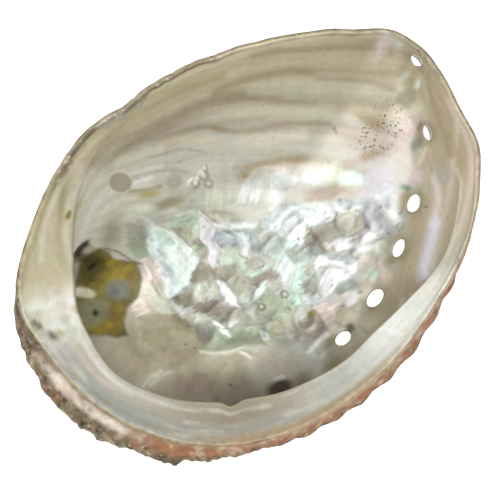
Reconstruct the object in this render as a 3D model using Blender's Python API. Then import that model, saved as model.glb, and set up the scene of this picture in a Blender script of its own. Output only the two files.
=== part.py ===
# An abalone shell about 150 mm long, lying on its back with the opening up.
# The wall is a loft of rings round a pole at the bowl's lowest point. The rings go out along the
# inside, under and over the ledge, over the lip, and back along the outside. Relief is added along
# the wall's normal. Cords and growth lines follow the log spiral that the shell grew by.
# Sizes are in millimetres until the mesh is made, which is in metres. A share is a point's place
# on the way from the lowest point, 0, to the rim, 1. Angles are anticlockwise from the front end,
# +X, seen from above.

import math

import bmesh
import bpy
import numpy as np
from mathutils import Matrix, Vector

MM = 0.001

# Heights and thicknesses.
RIM_HEIGHT = 38.0
WALL_THICKNESS = 2.4
SPIRE_EXTRA_THICKNESS = 1.2
SPIRE_SIDE = (165.0, 50.0, 0.6)  # where the wall is thicker: angle, half width, and share it is full from
LIP_THICKNESS = 1.3
LIP_THINS_FROM = 0.88  # the share from which the wall thins to the lip
CREST_HEIGHT = 0.25  # the lip's round top, as a part of the lip's thickness
WORN_DEPTH = 0.45  # worn off the lowest point, which leaves the flat that the shell rests on

# Outline and bowl.
# Radius of the rim from the pole, every 15 degrees.
RIM_RADII = (
    75.5, 75.5, 65.5, 59.0, 55.5, 54.0, 54.5, 57.0, 60.0, 62.5, 65.5, 65.5,
    63.5, 60.0, 57.0, 55.5, 54.0, 52.5, 52.0, 53.0, 55.5, 61.0, 67.5, 72.5,
)
# How far the outside swells out under the rim, every 15 degrees, and the shares it swells over.
SWELL = (
    2.2, 1.8, 1.0, 0.4, 0.0, 0.0, 0.0, 0.0, 0.0, 0.0, 4.0, 8.0,
    9.2, 9.5, 8.0, 5.6, 4.4, 4.6, 4.8, 5.0, 4.6, 3.4, 3.0, 2.0,
)
SWELL_FROM, SWELL_FULL, SWELL_ENDS = 0.66, 0.91, 0.95
# Profile, every 30 degrees: the wall rises by share * s^2 + (1 - share) * s^power.
ROUND_SHARE = (0.45, 0.45, 0.45, 0.45, 0.42, 0.36, 0.30, 0.25, 0.25, 0.25, 0.30, 0.40)
WALL_POWER = (4.5, 4.0, 4.0, 4.0, 4.2, 4.6, 5.2, 6.0, 6.4, 6.6, 6.4, 5.2)
LOW_POINT = (-11.6, -4.6)  # the bowl's lowest point, under the centre of mass

# The ledge along the inner margin.
# Its width, every 15 degrees.
LEDGE_WIDTH = (
    0.0, 0.0, 0.0, 0.0, 0.0, 0.0, 0.0, 0.0, 1.5, 13.5, 14.7, 11.6,
    9.6, 9.0, 9.6, 10.8, 10.8, 10.2, 9.0, 8.9, 6.6, 3.6, 1.2, 0.0,
)
LEDGE_LIFT = 1.5  # its edge stands this much over the plain wall
LEDGE_LIFT_WIDTH = 6.0  # where it is narrower than this it stands lower
LEDGE_NOTCH = (221.5, 3.0, 1.6)  # a chip in the edge: its angle and half width, and its depth
LEDGE_SETBACK = 2.6  # the plain wall is this far in from the rim where the edge springs
LEDGE_SETBACK_WIDTH = 4.0  # the width at which the whole setback is taken off
LEDGE_UNDERCUT = 0.75  # the inside follows this part of the swelling under the ledge

# The spiral of growth.
APEX = (-40.2, 22.4)
APEX_SIZE = 0.3  # added to every distance from the apex, so that its log is finite
GROWTH = 0.5  # growth of the radius for each radian
LIP_END = -39.0  # the growing lip runs from here, in degrees round the apex
LIP_START = 177.0  # to here, where it meets the older whorl
LIP_BEYOND = 3.0  # past its ends the lip stands this far off, in log radius
LIP_BEYOND_EDGES = (12.0, 24.0, 10.0)  # degrees over which it goes off and comes back, and past the end
OLDEST_AGE = 8.0  # radians of growth
AGE_STEPS = 400
OUTLINE_STEPS = 721

# Relief of the outside.
CORDS_PER_TURN = 31
CORD_HEIGHT = 0.35
OUTER_WAVE = (0.11, 0.5)  # growth ridges: radians of growth apart, and height
OUTER_FROM = (25.0, 55.0)  # distances from the apex between which cords and ridges come up
OUTER_POLE = (0.12, 0.32)  # shares between which they come up from the worn flat
KNOB_HEIGHT = 1.0
KNOB_SIDE = (205.0, 45.0)  # where the outside is knobbly: its angle and half width
KNOB_SHARES = (0.6, 0.9, 0.94, 1.02)  # the knobs come up over the first two and go over the others
KNOB_HOLLOW = -0.2  # the hollows between knobs go no deeper than this
LIP_RELIEF = (0.5, 0.9)  # half of the relief is left at the lip, from this share on

# Relief of the inside.
INNER_WAVE = (0.095, 0.6)
INNER_FROM = (30.0, 70.0)  # distances from the apex between which the waves come up
INNER_SIDE = (-25.0, -5.0)  # and the same in y
INNER_FADE = 0.1  # the waves die away over this share below the rim
SCAR = (-6.0, -4.0, 30.0, 8.0)  # the muscle scar: centre, radius and soft edge
SCAR_DIMPLE = (9.0, 0.45)  # spacing and depth of its hammered dimples
DIMPLE_BEND = (2.5, 7.0, 8.0)  # how far their rows wander, and how fast in y and x
DIMPLE_TURN = 0.3

# The row of pores: x and y from the pole, half length along the row, half width.
HOLES = (
    (71.7, 7.8, 1.7, 1.0),
    (61.8, -9.5, 2.0, 1.2),
    (46.5, -22.3, 2.4, 1.5),
    (34.7, -29.1, 2.5, 1.5),
    (19.7, -35.4, 3.0, 1.8),
    (4.7, -37.8, 2.5, 1.7),
)
ROW_LINE = 4.81  # log of the row's radius where its angle about the apex is 0
CLOSED_PORES = (-64.0, -75.0, -88.0, -103.0, -120.0, -140.0)  # degrees about the apex
FULL_PORE_DISTANCE = 80.0  # a closed pore this far from the apex is as large as an open one
ROW_GROOVE = (1.3, 4.5, 0.06)  # depth inside, half width, and the share it fades over at the rim
ROW_RIDGE = (1.2, 5.0, 0.04)  # the same outside, where it is a ridge
ROW_FROM = (24.0, 34.0)  # distances from the apex between which the ridge comes up
PORE_FUNNEL = (0.8, 3.8)
PORE_KNOB = (2.4, 4.4)
PORE_LEAN = 0.3  # a pore's axis is this much of the wall's normal, and the rest is upright
PORE_FLARE = 1.3
PORE_SIDES = 16
PUNCH_LENGTH = 12.0

# The spire: the suture's radius where the lip starts, its growth, its depth and half width.
SUTURE_RADIUS = 21.6
SUTURE_GROWTH = 0.32
SUTURE = (1.7, 2.4)
WHORL_HEIGHT = 2.2
WHORL_FULL_DISTANCE = 12.0  # nearer the apex the whorls are lower
WHORL_FADE = (16.0, 26.0)  # distances from the apex between which the whorls die away
SPIRE_CONE = (2.6, 15.0)  # its height and half width
SPIRE_HOLLOW = (-39.5, 19.5, 9.0, 3.6)  # the hollow inside: centre, radius and depth

# The loft: columns round the rim, and rows by share.
COLUMNS = 112
FINE_FROM = 0.5
MIDDLE_FROM = 0.27
LEDGE_ROOT = 0.935
LEDGE_EDGE = 0.955
CENTRE_ROWS = (0.06, 0.12, 0.18, 0.24, 0.30, 0.36, 0.42, 0.48)
WALL_ROWS = (0.52, 0.56, 0.60, 0.64, 0.68, 0.72, 0.76, 0.80, 0.84, 0.875, 0.91)
LEDGE_ROWS = (LEDGE_ROOT, 0.944, 0.95, LEDGE_EDGE, 0.968, 0.984, 1.0)
OUTER_ROWS = (
    1.0, 0.985, 0.97, 0.95, 0.92, 0.885, 0.85, 0.81, 0.77, 0.73, 0.69, 0.65, 0.61, 0.57, 0.53,
)
NORMAL_STEP = 0.001  # the steps of share and angle that a normal is worked out from
POLE_SHARE = 0.02  # nearer the pole than this the normal is the one here
SHARP_ANGLE = math.radians(50.0)

NACRE = ((0.62, 0.6, 0.52), 0.28, 0.25)  # colour, roughness and metallic value


def ramp(value, start, end):
    """0 before start, 1 after end, and an even S between."""
    x = np.clip((value - start) / (end - start), 0.0, 1.0)
    return x * x * (3.0 - 2.0 * x)


def bell(distance, half_width):
    return np.exp(-((distance / half_width) ** 2))


def around(values, angle):
    """A smooth closed curve through values set at equal steps of angle."""
    values = np.asarray(values)
    place = angle * len(values) / (2.0 * np.pi)
    first = np.floor(place).astype(int)
    t = place - first
    a, b, c, d = (values[(first + step) % len(values)] for step in (-1, 0, 1, 2))
    bend = 2.0 * a - 5.0 * b + 4.0 * c - d + t * (3.0 * (b - c) + d - a)
    return b + 0.5 * t * (c - a + t * bend)


def degrees_from(angle, degrees):
    return (np.degrees(angle) - degrees + 180.0) % 360.0 - 180.0


def plan(s, angle):
    """Where a point lies in plan, this share of the way from the lowest point to the rim."""
    radius = around(RIM_RADII, angle)
    x = LOW_POINT[0] + s * (radius * np.cos(angle) - LOW_POINT[0])
    y = LOW_POINT[1] + s * (radius * np.sin(angle) - LOW_POINT[1])
    return x, y


def place_on_plan(x, y):
    """The share and the angle of a point in plan."""
    angles = np.linspace(0.0, 2.0 * np.pi, OUTLINE_STEPS)
    rim_x, rim_y = plan(1.0, angles)
    seen = np.unwrap(np.arctan2(rim_y - LOW_POINT[1], rim_x - LOW_POINT[0]))
    towards = math.atan2(y - LOW_POINT[1], x - LOW_POINT[0])
    angle = np.interp((towards - seen[0]) % (2.0 * np.pi) + seen[0], seen, angles)
    rim_x, rim_y = plan(1.0, angle)
    reach = math.hypot(rim_x - LOW_POINT[0], rim_y - LOW_POINT[1])
    return math.hypot(x - LOW_POINT[0], y - LOW_POINT[1]) / reach, np.array([angle])


def bowl(s, angle):
    """The inside of the plain bowl."""
    x, y = plan(s, angle)
    share = around(ROUND_SHARE, angle)
    rise = share * s**2 + (1.0 - share) * s ** around(WALL_POWER, angle)
    floor = WALL_THICKNESS - WORN_DEPTH
    return np.stack([x, y, floor + (RIM_HEIGHT - floor) * rise], -1)


def into_bowl(s, angle):
    """The plain bowl's unit normal, pointing inwards and up."""
    s = np.maximum(s, POLE_SHARE)
    out = bowl(s + NORMAL_STEP, angle) - bowl(s - NORMAL_STEP, angle)
    round_about = bowl(s, angle + NORMAL_STEP) - bowl(s, angle - NORMAL_STEP)
    normal = np.cross(out, round_about)
    return normal / np.linalg.norm(normal, axis=-1, keepdims=True)


def about_apex(x, y):
    """Distance from the spire's apex, and the angle about it."""
    distance = np.hypot(x - APEX[0], y - APEX[1]) + APEX_SIZE
    return distance, np.arctan2(y - APEX[1], x - APEX[0])


def lip_log_radius(turn):
    """Log of the growing lip's distance from the apex. Past the lip's ends it is out of reach."""
    angle = np.linspace(0.0, 2.0 * np.pi, OUTLINE_STEPS)
    radius = around(RIM_RADII, angle)
    distance, seen = about_apex(radius * np.cos(angle), radius * np.sin(angle))
    order = np.argsort(seen)
    log_radius = np.interp(turn, seen[order], np.log(distance[order]), period=2.0 * np.pi)
    going, coming, beyond = LIP_BEYOND_EDGES
    past = (np.degrees(turn) - LIP_START) % 360.0
    gap = (LIP_END - LIP_START) % 360.0 + beyond
    off = ramp(past, 0.0, going) * ramp(gap - past, 0.0, coming)
    return log_radius + LIP_BEYOND * off


def growth_age(x, y):
    """Radians of growth since the lip stood here: the lip turned back and shrunk meets the point."""
    distance, turn = about_apex(x, y)
    ages = np.linspace(0.0, OLDEST_AGE, AGE_STEPS)
    reach = np.log(distance)[..., None] + GROWTH * ages - lip_log_radius(turn[..., None] + ages)
    passed = reach >= 0.0
    after = np.maximum(passed.argmax(-1), 1)
    high = np.take_along_axis(reach, after[..., None], -1)[..., 0]
    low = np.take_along_axis(reach, after[..., None] - 1, -1)[..., 0]
    part = np.clip(-low / np.maximum(high - low, 1e-9), 0.0, 1.0)
    return np.where(passed[..., 0], 0.0, ages[after - 1] + part * (ages[1] - ages[0]))


def wave(age, spacing, height):
    return height * np.cos(2.0 * np.pi * age / spacing)


def off_row(distance, turn):
    """Distance across the surface from the line of pores."""
    return (np.log(distance) - GROWTH * turn - ROW_LINE) * distance / math.hypot(1.0, GROWTH)


def pore_places():
    """Place of each open and closed pore, as x and y, and its share of full size."""
    places = [(x, y, 1.0) for x, y, _, _ in HOLES]
    for degrees in CLOSED_PORES:
        turn = math.radians(degrees)
        distance = math.exp(ROW_LINE + GROWTH * turn)
        x = APEX[0] + distance * math.cos(turn)
        y = APEX[1] + distance * math.sin(turn)
        places.append((x, y, distance / FULL_PORE_DISTANCE))
    return places


def dimples(x, y):
    """Hammered dimples: three waves at 60 degrees to each other, bent a little."""
    spacing, depth = SCAR_DIMPLE
    wander, pace_y, pace_x = DIMPLE_BEND
    x, y = x + wander * np.sin(y / pace_y), y + wander * np.sin(x / pace_x)
    total = sum(
        np.cos(2.0 * np.pi * (x * math.cos(a) + y * math.sin(a)) / spacing)
        for a in (DIMPLE_TURN + k * math.pi / 3.0 for k in range(3))
    )
    return depth * total / 3.0


def inside_relief(s, angle):
    """Height of the inside's relief, towards the opening."""
    x, y = plan(s, angle)
    distance, turn = about_apex(x, y)
    spread = ramp(distance, *INNER_FROM) * ramp(y, *INNER_SIDE) * ramp(1.0 - s, 0.0, INNER_FADE)
    relief = wave(growth_age(x, y), *INNER_WAVE) * spread
    scar_x, scar_y, radius, soft = SCAR
    relief = relief + dimples(x, y) * ramp(radius - np.hypot(x - scar_x, y - scar_y), 0.0, soft)
    depth, half_width, fade = ROW_GROOVE
    relief = relief - depth * bell(off_row(distance, turn), half_width) * ramp(1.0 - s, 0.0, fade)
    depth, half_width = PORE_FUNNEL
    for hole_x, hole_y, _, _ in HOLES:
        relief = relief - depth * bell(np.hypot(x - hole_x, y - hole_y), half_width)
    hollow_x, hollow_y, radius, depth = SPIRE_HOLLOW
    return relief - depth * bell(np.hypot(x - hollow_x, y - hollow_y), radius)


def spire_relief(distance, turn):
    """The raised spire: a low cone of convex whorls with a sunk suture between them."""
    turns_out = np.log(distance / SUTURE_RADIUS) / (2.0 * np.pi * SUTURE_GROWTH)
    place = turns_out - (turn - math.radians(LIP_START)) / (2.0 * np.pi)
    from_suture = (place - np.round(place)) * 2.0 * np.pi * SUTURE_GROWTH * distance
    whorl = WHORL_HEIGHT * np.sin(np.pi * (place % 1.0))
    whorl = whorl * np.minimum(distance / WHORL_FULL_DISTANCE, 1.0)
    depth, half_width = SUTURE
    cone_height, cone_width = SPIRE_CONE
    near = 1.0 - ramp(distance, *WHORL_FADE)
    return near * (whorl - depth * bell(from_suture, half_width)) + cone_height * bell(distance, cone_width)


def outside_relief(s, angle):
    """Height of the outside's relief, away from the bowl."""
    x, y = plan(s, angle)
    distance, turn = about_apex(x, y)
    cord = np.cos(CORDS_PER_TURN * (np.log(distance) / GROWTH - turn))
    age = growth_age(x, y)
    clear = ramp(distance, *OUTER_FROM) * ramp(s, *OUTER_POLE)
    relief = (CORD_HEIGHT * cord + wave(age, *OUTER_WAVE)) * clear
    side, half_side = KNOB_SIDE
    up_from, up, down_from, down = KNOB_SHARES
    rough = bell(degrees_from(angle, side), half_side)
    rough = rough * ramp(s, up_from, up) * (1.0 - ramp(s, down_from, down))
    knobs = np.maximum(cord * wave(age, OUTER_WAVE[0], 1.0), KNOB_HOLLOW)
    relief = relief + KNOB_HEIGHT * rough * knobs
    height, half_width, fade = ROW_RIDGE
    row = bell(off_row(distance, turn), half_width) * ramp(distance, *ROW_FROM)
    relief = relief + height * row * ramp(1.0 - s, 0.0, fade)
    height, half_width = PORE_KNOB
    for pore_x, pore_y, size in pore_places():
        relief = relief + height * size * bell(np.hypot(x - pore_x, y - pore_y), half_width * size)
    return relief + spire_relief(distance, turn)


def outward(angle):
    return np.stack([np.cos(angle), np.sin(angle), np.zeros_like(angle)], -1)


def swelling(s, angle):
    return around(SWELL, angle) * ramp(s, SWELL_FROM, SWELL_FULL)


def ledge_width(angle):
    """How far the ledge's edge stands in from the plain wall, less the chip in it."""
    width = np.maximum(around(LEDGE_WIDTH, angle), 0.0)
    notch_angle, notch_half_width, notch_depth = LEDGE_NOTCH
    width = width - notch_depth * bell(degrees_from(angle, notch_angle), notch_half_width)
    return width - LEDGE_SETBACK * ramp(width, 0.0, LEDGE_SETBACK_WIDTH)


def inside_ring(s, angle):
    """A ring of the inside, with the ledge pushed in over the swollen wall."""
    under = ramp(s, LEDGE_ROOT, LEDGE_EDGE)
    top = min((1.0 - s) / (1.0 - LEDGE_EDGE), 1.0)
    width = ledge_width(angle)
    push = LEDGE_UNDERCUT * swelling(s, angle) * (1.0 - under) - width * under * top
    points = bowl(s, angle) + outward(angle) * push[:, None]
    points += into_bowl(s, angle) * (inside_relief(s, angle) * (1.0 - under))[:, None]
    points[:, 2] += LEDGE_LIFT * under * top * np.minimum(width / LEDGE_LIFT_WIDTH, 1.0)
    return points


def outside_ring(s, angle):
    """A ring of the outside, no lower than the worn flat."""
    side, half_side, full_from = SPIRE_SIDE
    spire_side = bell(degrees_from(angle, side), half_side) * ramp(s, 0.0, full_from)
    thickness = WALL_THICKNESS + SPIRE_EXTRA_THICKNESS * spire_side
    thickness += (LIP_THICKNESS - thickness) * ramp(s, LIP_THINS_FROM, 1.0)
    left, lip_from = LIP_RELIEF
    thickness += outside_relief(s, angle) * (1.0 - left * ramp(s, lip_from, 1.0))
    push = swelling(s, angle) * ramp(1.0 - s, 0.0, 1.0 - SWELL_ENDS)
    points = bowl(s, angle) + outward(angle) * push[:, None]
    points -= into_bowl(s, angle) * thickness[:, None]
    points[:, 2] = np.maximum(points[:, 2], 0.0)
    return points


def ring_angles(s):
    """Angles of a ring's points: fewer of them towards the pole."""
    count = COLUMNS if s > FINE_FROM else COLUMNS // 2 if s > MIDDLE_FROM else COLUMNS // 4
    return np.arange(count) * 2.0 * np.pi / count


def shell_rings():
    """All the rings, from the pole inside, over the lip, to the pole outside."""
    pole = np.zeros(1)
    rings = [inside_ring(0.0, pole)]
    rings += [inside_ring(s, ring_angles(s)) for s in CENTRE_ROWS + WALL_ROWS + LEDGE_ROWS]
    outer = [outside_ring(s, ring_angles(s)) for s in OUTER_ROWS + CENTRE_ROWS[::-1]]
    crest = (rings[-1] + outer[0]) / 2.0
    crest[:, 2] += CREST_HEIGHT * LIP_THICKNESS
    return rings + [crest] + outer + [outside_ring(0.0, pole)]


def join_rings(mesh, low, high):
    """Faces between two rings, where one may have 1, half or as many points as the other."""
    if len(low) < len(high):
        join_fewer(mesh, low, high, False)
    elif len(high) < len(low):
        join_fewer(mesh, high, low, True)
    else:
        count = len(low)
        for i in range(count):
            j = (i + 1) % count
            mesh.faces.new((low[i], low[j], high[j], high[i]))


def join_fewer(mesh, few, many, flip):
    """A fan from each point of the ring with fewer, and a triangle between two fans."""
    ratio = len(many) // len(few)
    for i in range(len(many)):
        j = (i + 1) % len(many)
        corners = (few[(i + ratio // 2) // ratio % len(few)], many[i], many[j])
        mesh.faces.new(corners[::-1] if flip else corners)
    if len(few) > 1:
        for i in range(len(few)):
            j = (i + 1) % len(few)
            corners = (few[j], few[i], many[(i * ratio + ratio // 2) % len(many)])
            mesh.faces.new(corners[::-1] if flip else corners)


def material(name, colour, roughness, metallic):
    new = bpy.data.materials.new(name)
    new.use_nodes = True
    shader = new.node_tree.nodes["Principled BSDF"]
    shader.inputs["Base Color"].default_value = (*colour, 1.0)
    shader.inputs["Roughness"].default_value = roughness
    shader.inputs["Metallic"].default_value = metallic
    return new


def new_collection(name):
    collection = bpy.data.collections.new(name)
    bpy.context.scene.collection.children.link(collection)
    return collection


def build_shell(collection):
    """The shell as one closed mesh, and the middle of its bounding box, which goes to the origin."""
    rings = shell_rings()
    everything = np.concatenate(rings)
    middle = (everything.min(0) + everything.max(0)) / 2.0
    middle[2] = 0.0
    built = bmesh.new()
    corners = [[built.verts.new(Vector(point - middle) * MM) for point in ring] for ring in rings]
    for low, high in zip(corners, corners[1:]):
        join_rings(built, low, high)
    bmesh.ops.recalc_face_normals(built, faces=built.faces)
    mesh = bpy.data.meshes.new("abalone_shell")
    built.to_mesh(mesh)
    built.free()
    mesh.shade_smooth()
    mesh.set_sharp_from_angle(angle=SHARP_ANGLE)
    shell = bpy.data.objects.new("abalone_shell", mesh)
    collection.objects.link(shell)
    shell.data.materials.append(material("nacre", *NACRE))
    return shell, middle


def add_pore_cutter(collection, index, hole, middle):
    """A flared oval punch through the wall, most of the way from the wall's normal to upright."""
    x, y, half_length, half_width = hole
    s, angle = place_on_plan(x, y)
    sunk = WALL_THICKNESS / 2.0 + ROW_GROOVE[0]
    normal = Vector(into_bowl(s, angle)[0])
    centre = Vector(bowl(s, angle)[0]) - normal * sunk
    upright = Vector((0.0, 0.0, 1.0))
    axis = ((1.0 - PORE_LEAN) * upright + PORE_LEAN * normal).normalized()
    turn = math.atan2(y - APEX[1], x - APEX[0]) + math.atan2(1.0, GROWTH)
    along = Vector((math.cos(turn), math.sin(turn), 0.0))
    along = (along - axis * along.dot(axis)).normalized()
    across = axis.cross(along)
    bpy.ops.mesh.primitive_cone_add(
        vertices=PORE_SIDES, radius1=1.0, radius2=PORE_FLARE, depth=PUNCH_LENGTH
    )
    cutter = bpy.context.object
    cutter.name = f"pore_cutter_{index}"
    sides = Matrix((along * half_length, across * half_width, axis)).transposed().to_4x4()
    cutter.matrix_world = Matrix.Scale(MM, 4) @ Matrix.Translation(centre - Vector(middle)) @ sides
    cutter.hide_render = True
    cutter.display_type = "WIRE"
    for owner in list(cutter.users_collection):
        owner.objects.unlink(cutter)
    collection.objects.link(cutter)
    return cutter


def cut_pore(shell, cutter):
    pore = shell.modifiers.new(cutter.name, "BOOLEAN")
    pore.operation = "DIFFERENCE"
    pore.solver = "EXACT"
    pore.object = cutter


def main():
    for old in list(bpy.data.objects):
        bpy.data.objects.remove(old, do_unlink=True)
    shell, middle = build_shell(new_collection("abalone_shell"))
    cutters = new_collection("cutters")
    for index, hole in enumerate(HOLES, 1):
        cut_pore(shell, add_pore_cutter(cutters, index, hole, middle))


main()
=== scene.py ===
# Dresses the abalone shell: one fine mesh in place of the solid, with nacre inside and crust outside.
# Lengths in the dictionaries are in millimetres, in plan from the middle of the rim, unless a note
# says otherwise. A share s runs from the bowl's lowest point, 0, to the rim, 1. Angles are
# anticlockwise from the front end, +X, seen from above.

import math

import bpy
import numpy as np
from mathutils import Matrix, Vector


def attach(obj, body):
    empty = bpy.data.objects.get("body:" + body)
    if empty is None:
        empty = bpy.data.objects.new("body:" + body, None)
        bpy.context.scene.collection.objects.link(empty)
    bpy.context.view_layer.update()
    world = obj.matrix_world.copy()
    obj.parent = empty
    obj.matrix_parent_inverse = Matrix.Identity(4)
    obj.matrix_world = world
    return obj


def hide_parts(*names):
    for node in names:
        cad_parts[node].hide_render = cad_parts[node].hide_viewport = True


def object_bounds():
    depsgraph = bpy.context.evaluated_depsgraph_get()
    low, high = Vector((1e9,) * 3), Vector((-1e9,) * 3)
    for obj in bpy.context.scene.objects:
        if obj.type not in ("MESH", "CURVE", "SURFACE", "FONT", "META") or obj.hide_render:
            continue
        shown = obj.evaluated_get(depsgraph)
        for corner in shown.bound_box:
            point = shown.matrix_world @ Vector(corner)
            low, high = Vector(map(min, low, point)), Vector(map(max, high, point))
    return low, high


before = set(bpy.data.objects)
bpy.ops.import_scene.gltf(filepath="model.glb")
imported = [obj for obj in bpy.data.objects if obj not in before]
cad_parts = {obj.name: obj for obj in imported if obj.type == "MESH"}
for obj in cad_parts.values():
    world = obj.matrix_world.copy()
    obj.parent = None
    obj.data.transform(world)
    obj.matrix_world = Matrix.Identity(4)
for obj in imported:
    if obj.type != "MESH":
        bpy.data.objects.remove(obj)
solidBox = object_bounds()
print("frame loaded:", sorted(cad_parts))

mm = 0.001
fullTurn = 2.0 * np.pi


# Small shapes that everything below is put together from.

def ramp(value, start, end):
    # 0 at start, 1 at end and an even S between, 3x^2 - 2x^3; it falls where start is above end
    x = np.clip((value - start) / (end - start), 0.0, 1.0)
    return x * x * (3.0 - 2.0 * x)


def bell(distance, halfWidth):
    # e to the power of minus the square of distance over half width
    return np.exp(-((distance / halfWidth) ** 2))


def around(values, angle):
    # a smooth closed curve through values set at equal steps of angle (Catmull-Rom)
    values = np.asarray(values)
    place = angle * len(values) / fullTurn
    first = np.floor(place).astype(int)
    t = place - first
    a, b, c, d = (values[(first + step) % len(values)] for step in (-1, 0, 1, 2))
    bend = 2.0 * a - 5.0 * b + 4.0 * c - d + t * (3.0 * (b - c) + d - a)
    return b + 0.5 * t * (c - a + t * bend)


def degreesFrom(angle, degrees):
    return (np.degrees(angle) - degrees + 180.0) % 360.0 - 180.0


lumpTable = np.random.default_rng(7).uniform(-1.0, 1.0, (32, 32, 32))


def spot(x, y, z=0.0):
    return np.stack(np.broadcast_arrays(x, y, z), -1)


def lumps(points, size):
    # value noise: random values on a cubic lattice of this size, blended by an even S between them
    place = np.asarray(points) / size + 400.0  # far from 0, so that it is never negative
    low = np.floor(place).astype(int)
    t = place - low
    t = t * t * (3.0 - 2.0 * t)
    total = 0.0
    for corner in range(8):
        step = np.array([corner & 1, corner >> 1 & 1, corner >> 2])
        at = (low + step) % 32
        weight = np.prod(np.where(step == 1, t, 1.0 - t), axis=-1)
        total = total + weight * lumpTable[at[..., 0], at[..., 1], at[..., 2]]
    return total


def manyLumps(points, size=1.0, times=3):
    # lumps added up, each time half as large and half as high
    return sum(lumps(points, size / 2.0**k) / 2.0**k for k in range(times)) / 1.75


def smoothLine(points, pieces=5):
    # a smooth open line through the points (Catmull-Rom), as more points; they may be given in one row
    points = np.reshape(points, (-1, 2))
    p = np.array([points[0], *points, points[-1]], float)
    t = (np.arange(pieces) / pieces)[:, None]
    bend = [
        b + 0.5 * t * (c - a + t * (2.0 * a - 5.0 * b + 4.0 * c - d + t * (3.0 * (b - c) + d - a)))
        for a, b, c, d in zip(p, p[1:], p[2:], p[3:])
    ]
    return [tuple(q) for q in np.concatenate([*bend, p[-1:]])]


def smoothLoop(points, pieces=3):
    # the same round a closed outline
    points = np.reshape(points, (-1, 2))
    loop = smoothLine([points[-1], *points, points[0], points[1]], pieces)
    return loop[pieces:-2 * pieces]


def lineDistance(x, y, points):
    # distance to the nearest of the straight pieces between the points
    nearest = np.full(np.shape(x), 1e9)
    for (x0, y0), (x1, y1) in zip(points, points[1:]):
        dx, dy = x1 - x0, y1 - y0
        t = np.clip(((x - x0) * dx + (y - y0) * dy) / (dx * dx + dy * dy + 1e-12), 0.0, 1.0)
        nearest = np.minimum(nearest, np.hypot(x - x0 - t * dx, y - y0 - t * dy))
    return nearest


def withinOutline(x, y, points):
    # distance to a closed outline, positive within it and negative outside
    within = np.zeros(np.shape(x), bool)
    loop = [*points, points[0]]
    for (x0, y0), (x1, y1) in zip(loop, loop[1:]):
        spans = (y0 > y) != (y1 > y)
        within ^= spans & (x < x0 + (y - y0) * (x1 - x0) / (y1 - y0 + 1e-12))
    return np.where(within, 1.0, -1.0) * lineDistance(x, y, loop)


# The plain bowl: outline, profile and the spiral that it grew by.

bowlForm = {
    "rimHeight": 38.0,
    "wallThickness": 2.4,
    "spireExtra": (1.2, 165.0, 50.0, 0.6),  # more thickness: how much, angle, half width, share
    "lipThickness": 1.3,
    "lipThinsFrom": 0.88,
    "wornDepth": 0.45,
    "lowPoint": (-11.6, -4.6),
    "boxMiddle": (2.447, 0.001),  # the middle of the solid's box, which is at the origin
    "rimRadii": (  # every 15 degrees
        75.5, 75.5, 65.5, 59.0, 55.5, 54.0, 54.5, 57.0, 60.0, 62.5, 65.5, 65.5,
        63.5, 60.0, 57.0, 55.5, 54.0, 52.5, 52.0, 53.0, 55.5, 61.0, 67.5, 72.5,
    ),
    "dents": (  # angle, height, half width
        (20.5, -1.7, 4.5), (90.0, -0.8, 5.0), (151.0, 2.4, 13.0), (156.0, 0.6, 6.0),
        (207.0, 2.5, 24.0), (342.0, 1.0, 5.0), (353.0, -0.9, 6.0),
    ),
    "scallops": (0.55, 8.0, 28.0, 40.0, 118.0, 134.0),  # height, length, and the angles they run between
    "swell": (  # how far the outside swells out under the rim, every 15 degrees
        2.2, 1.8, 1.0, 0.4, 0.0, 0.0, 0.0, 0.0, 0.0, 0.8, 3.4, 7.4,
        9.7, 7.8, 5.8, 3.9, 4.0, 4.6, 4.8, 5.0, 4.6, 3.4, 3.0, 2.0,
    ),
    "swellShares": (0.66, 0.91, 0.95),
    "roundShare": (0.45, 0.45, 0.45, 0.45, 0.42, 0.36, 0.30, 0.25, 0.25, 0.25, 0.30, 0.40),
    "wallPower": (4.5, 4.0, 4.0, 4.0, 4.2, 4.6, 5.2, 6.0, 6.4, 6.6, 6.4, 5.2),
}

growth = {
    "apex": (-40.2, 22.4),
    "rate": 0.5,  # growth of the radius for each radian
    "lipEnd": -39.0,
    "lipStart": 177.0,
    "beyond": (3.0, 12.0, 24.0, 10.0),  # how far off the lip stands past its ends, and the edges of that
    "oldest": 8.0,
    "steps": 300,
}


def rimRadius(angle):
    # the smooth outline, with dents and bumps, and small scallops along the lip
    degrees = np.degrees(angle) % 360.0
    radius = around(bowlForm["rimRadii"], angle)
    for where, height, halfWidth in bowlForm["dents"]:
        radius = radius + height * bell(degreesFrom(angle, where), halfWidth)
    height, length, start, full, fade, end = bowlForm["scallops"]
    wave = manyLumps(spot(degrees, 0.0), length) * ramp(degrees, start, full) * ramp(degrees, end, fade)
    return radius + height * wave


def plan(s, angle):
    # the lowest point plus the share s of the way to the rim
    lowX, lowY = bowlForm["lowPoint"]
    radius = rimRadius(angle)
    return lowX + s * (radius * np.cos(angle) - lowX), lowY + s * (radius * np.sin(angle) - lowY)


def bowl(s, angle):
    # height = floor + height above it * (round * s^2 + (1 - round) * s^power)
    x, y = plan(s, angle)
    roundShare = around(bowlForm["roundShare"], angle)
    rise = roundShare * s**2 + (1.0 - roundShare) * s ** around(bowlForm["wallPower"], angle)
    floor = bowlForm["wallThickness"] - bowlForm["wornDepth"]
    return np.stack([x, y, floor + (bowlForm["rimHeight"] - floor) * rise], -1)


def intoBowl(s, angle):
    # unit normal of the plain bowl, inwards and up, from small steps of share and angle
    step = 0.001
    s = np.maximum(s, 0.02)
    out = bowl(s + step, angle) - bowl(s - step, angle)
    roundAbout = bowl(s, angle + step) - bowl(s, angle - step)
    normal = np.cross(out, roundAbout)
    return normal / np.linalg.norm(normal, axis=-1, keepdims=True)


def outward(angle):
    return spot(np.cos(angle), np.sin(angle))


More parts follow.
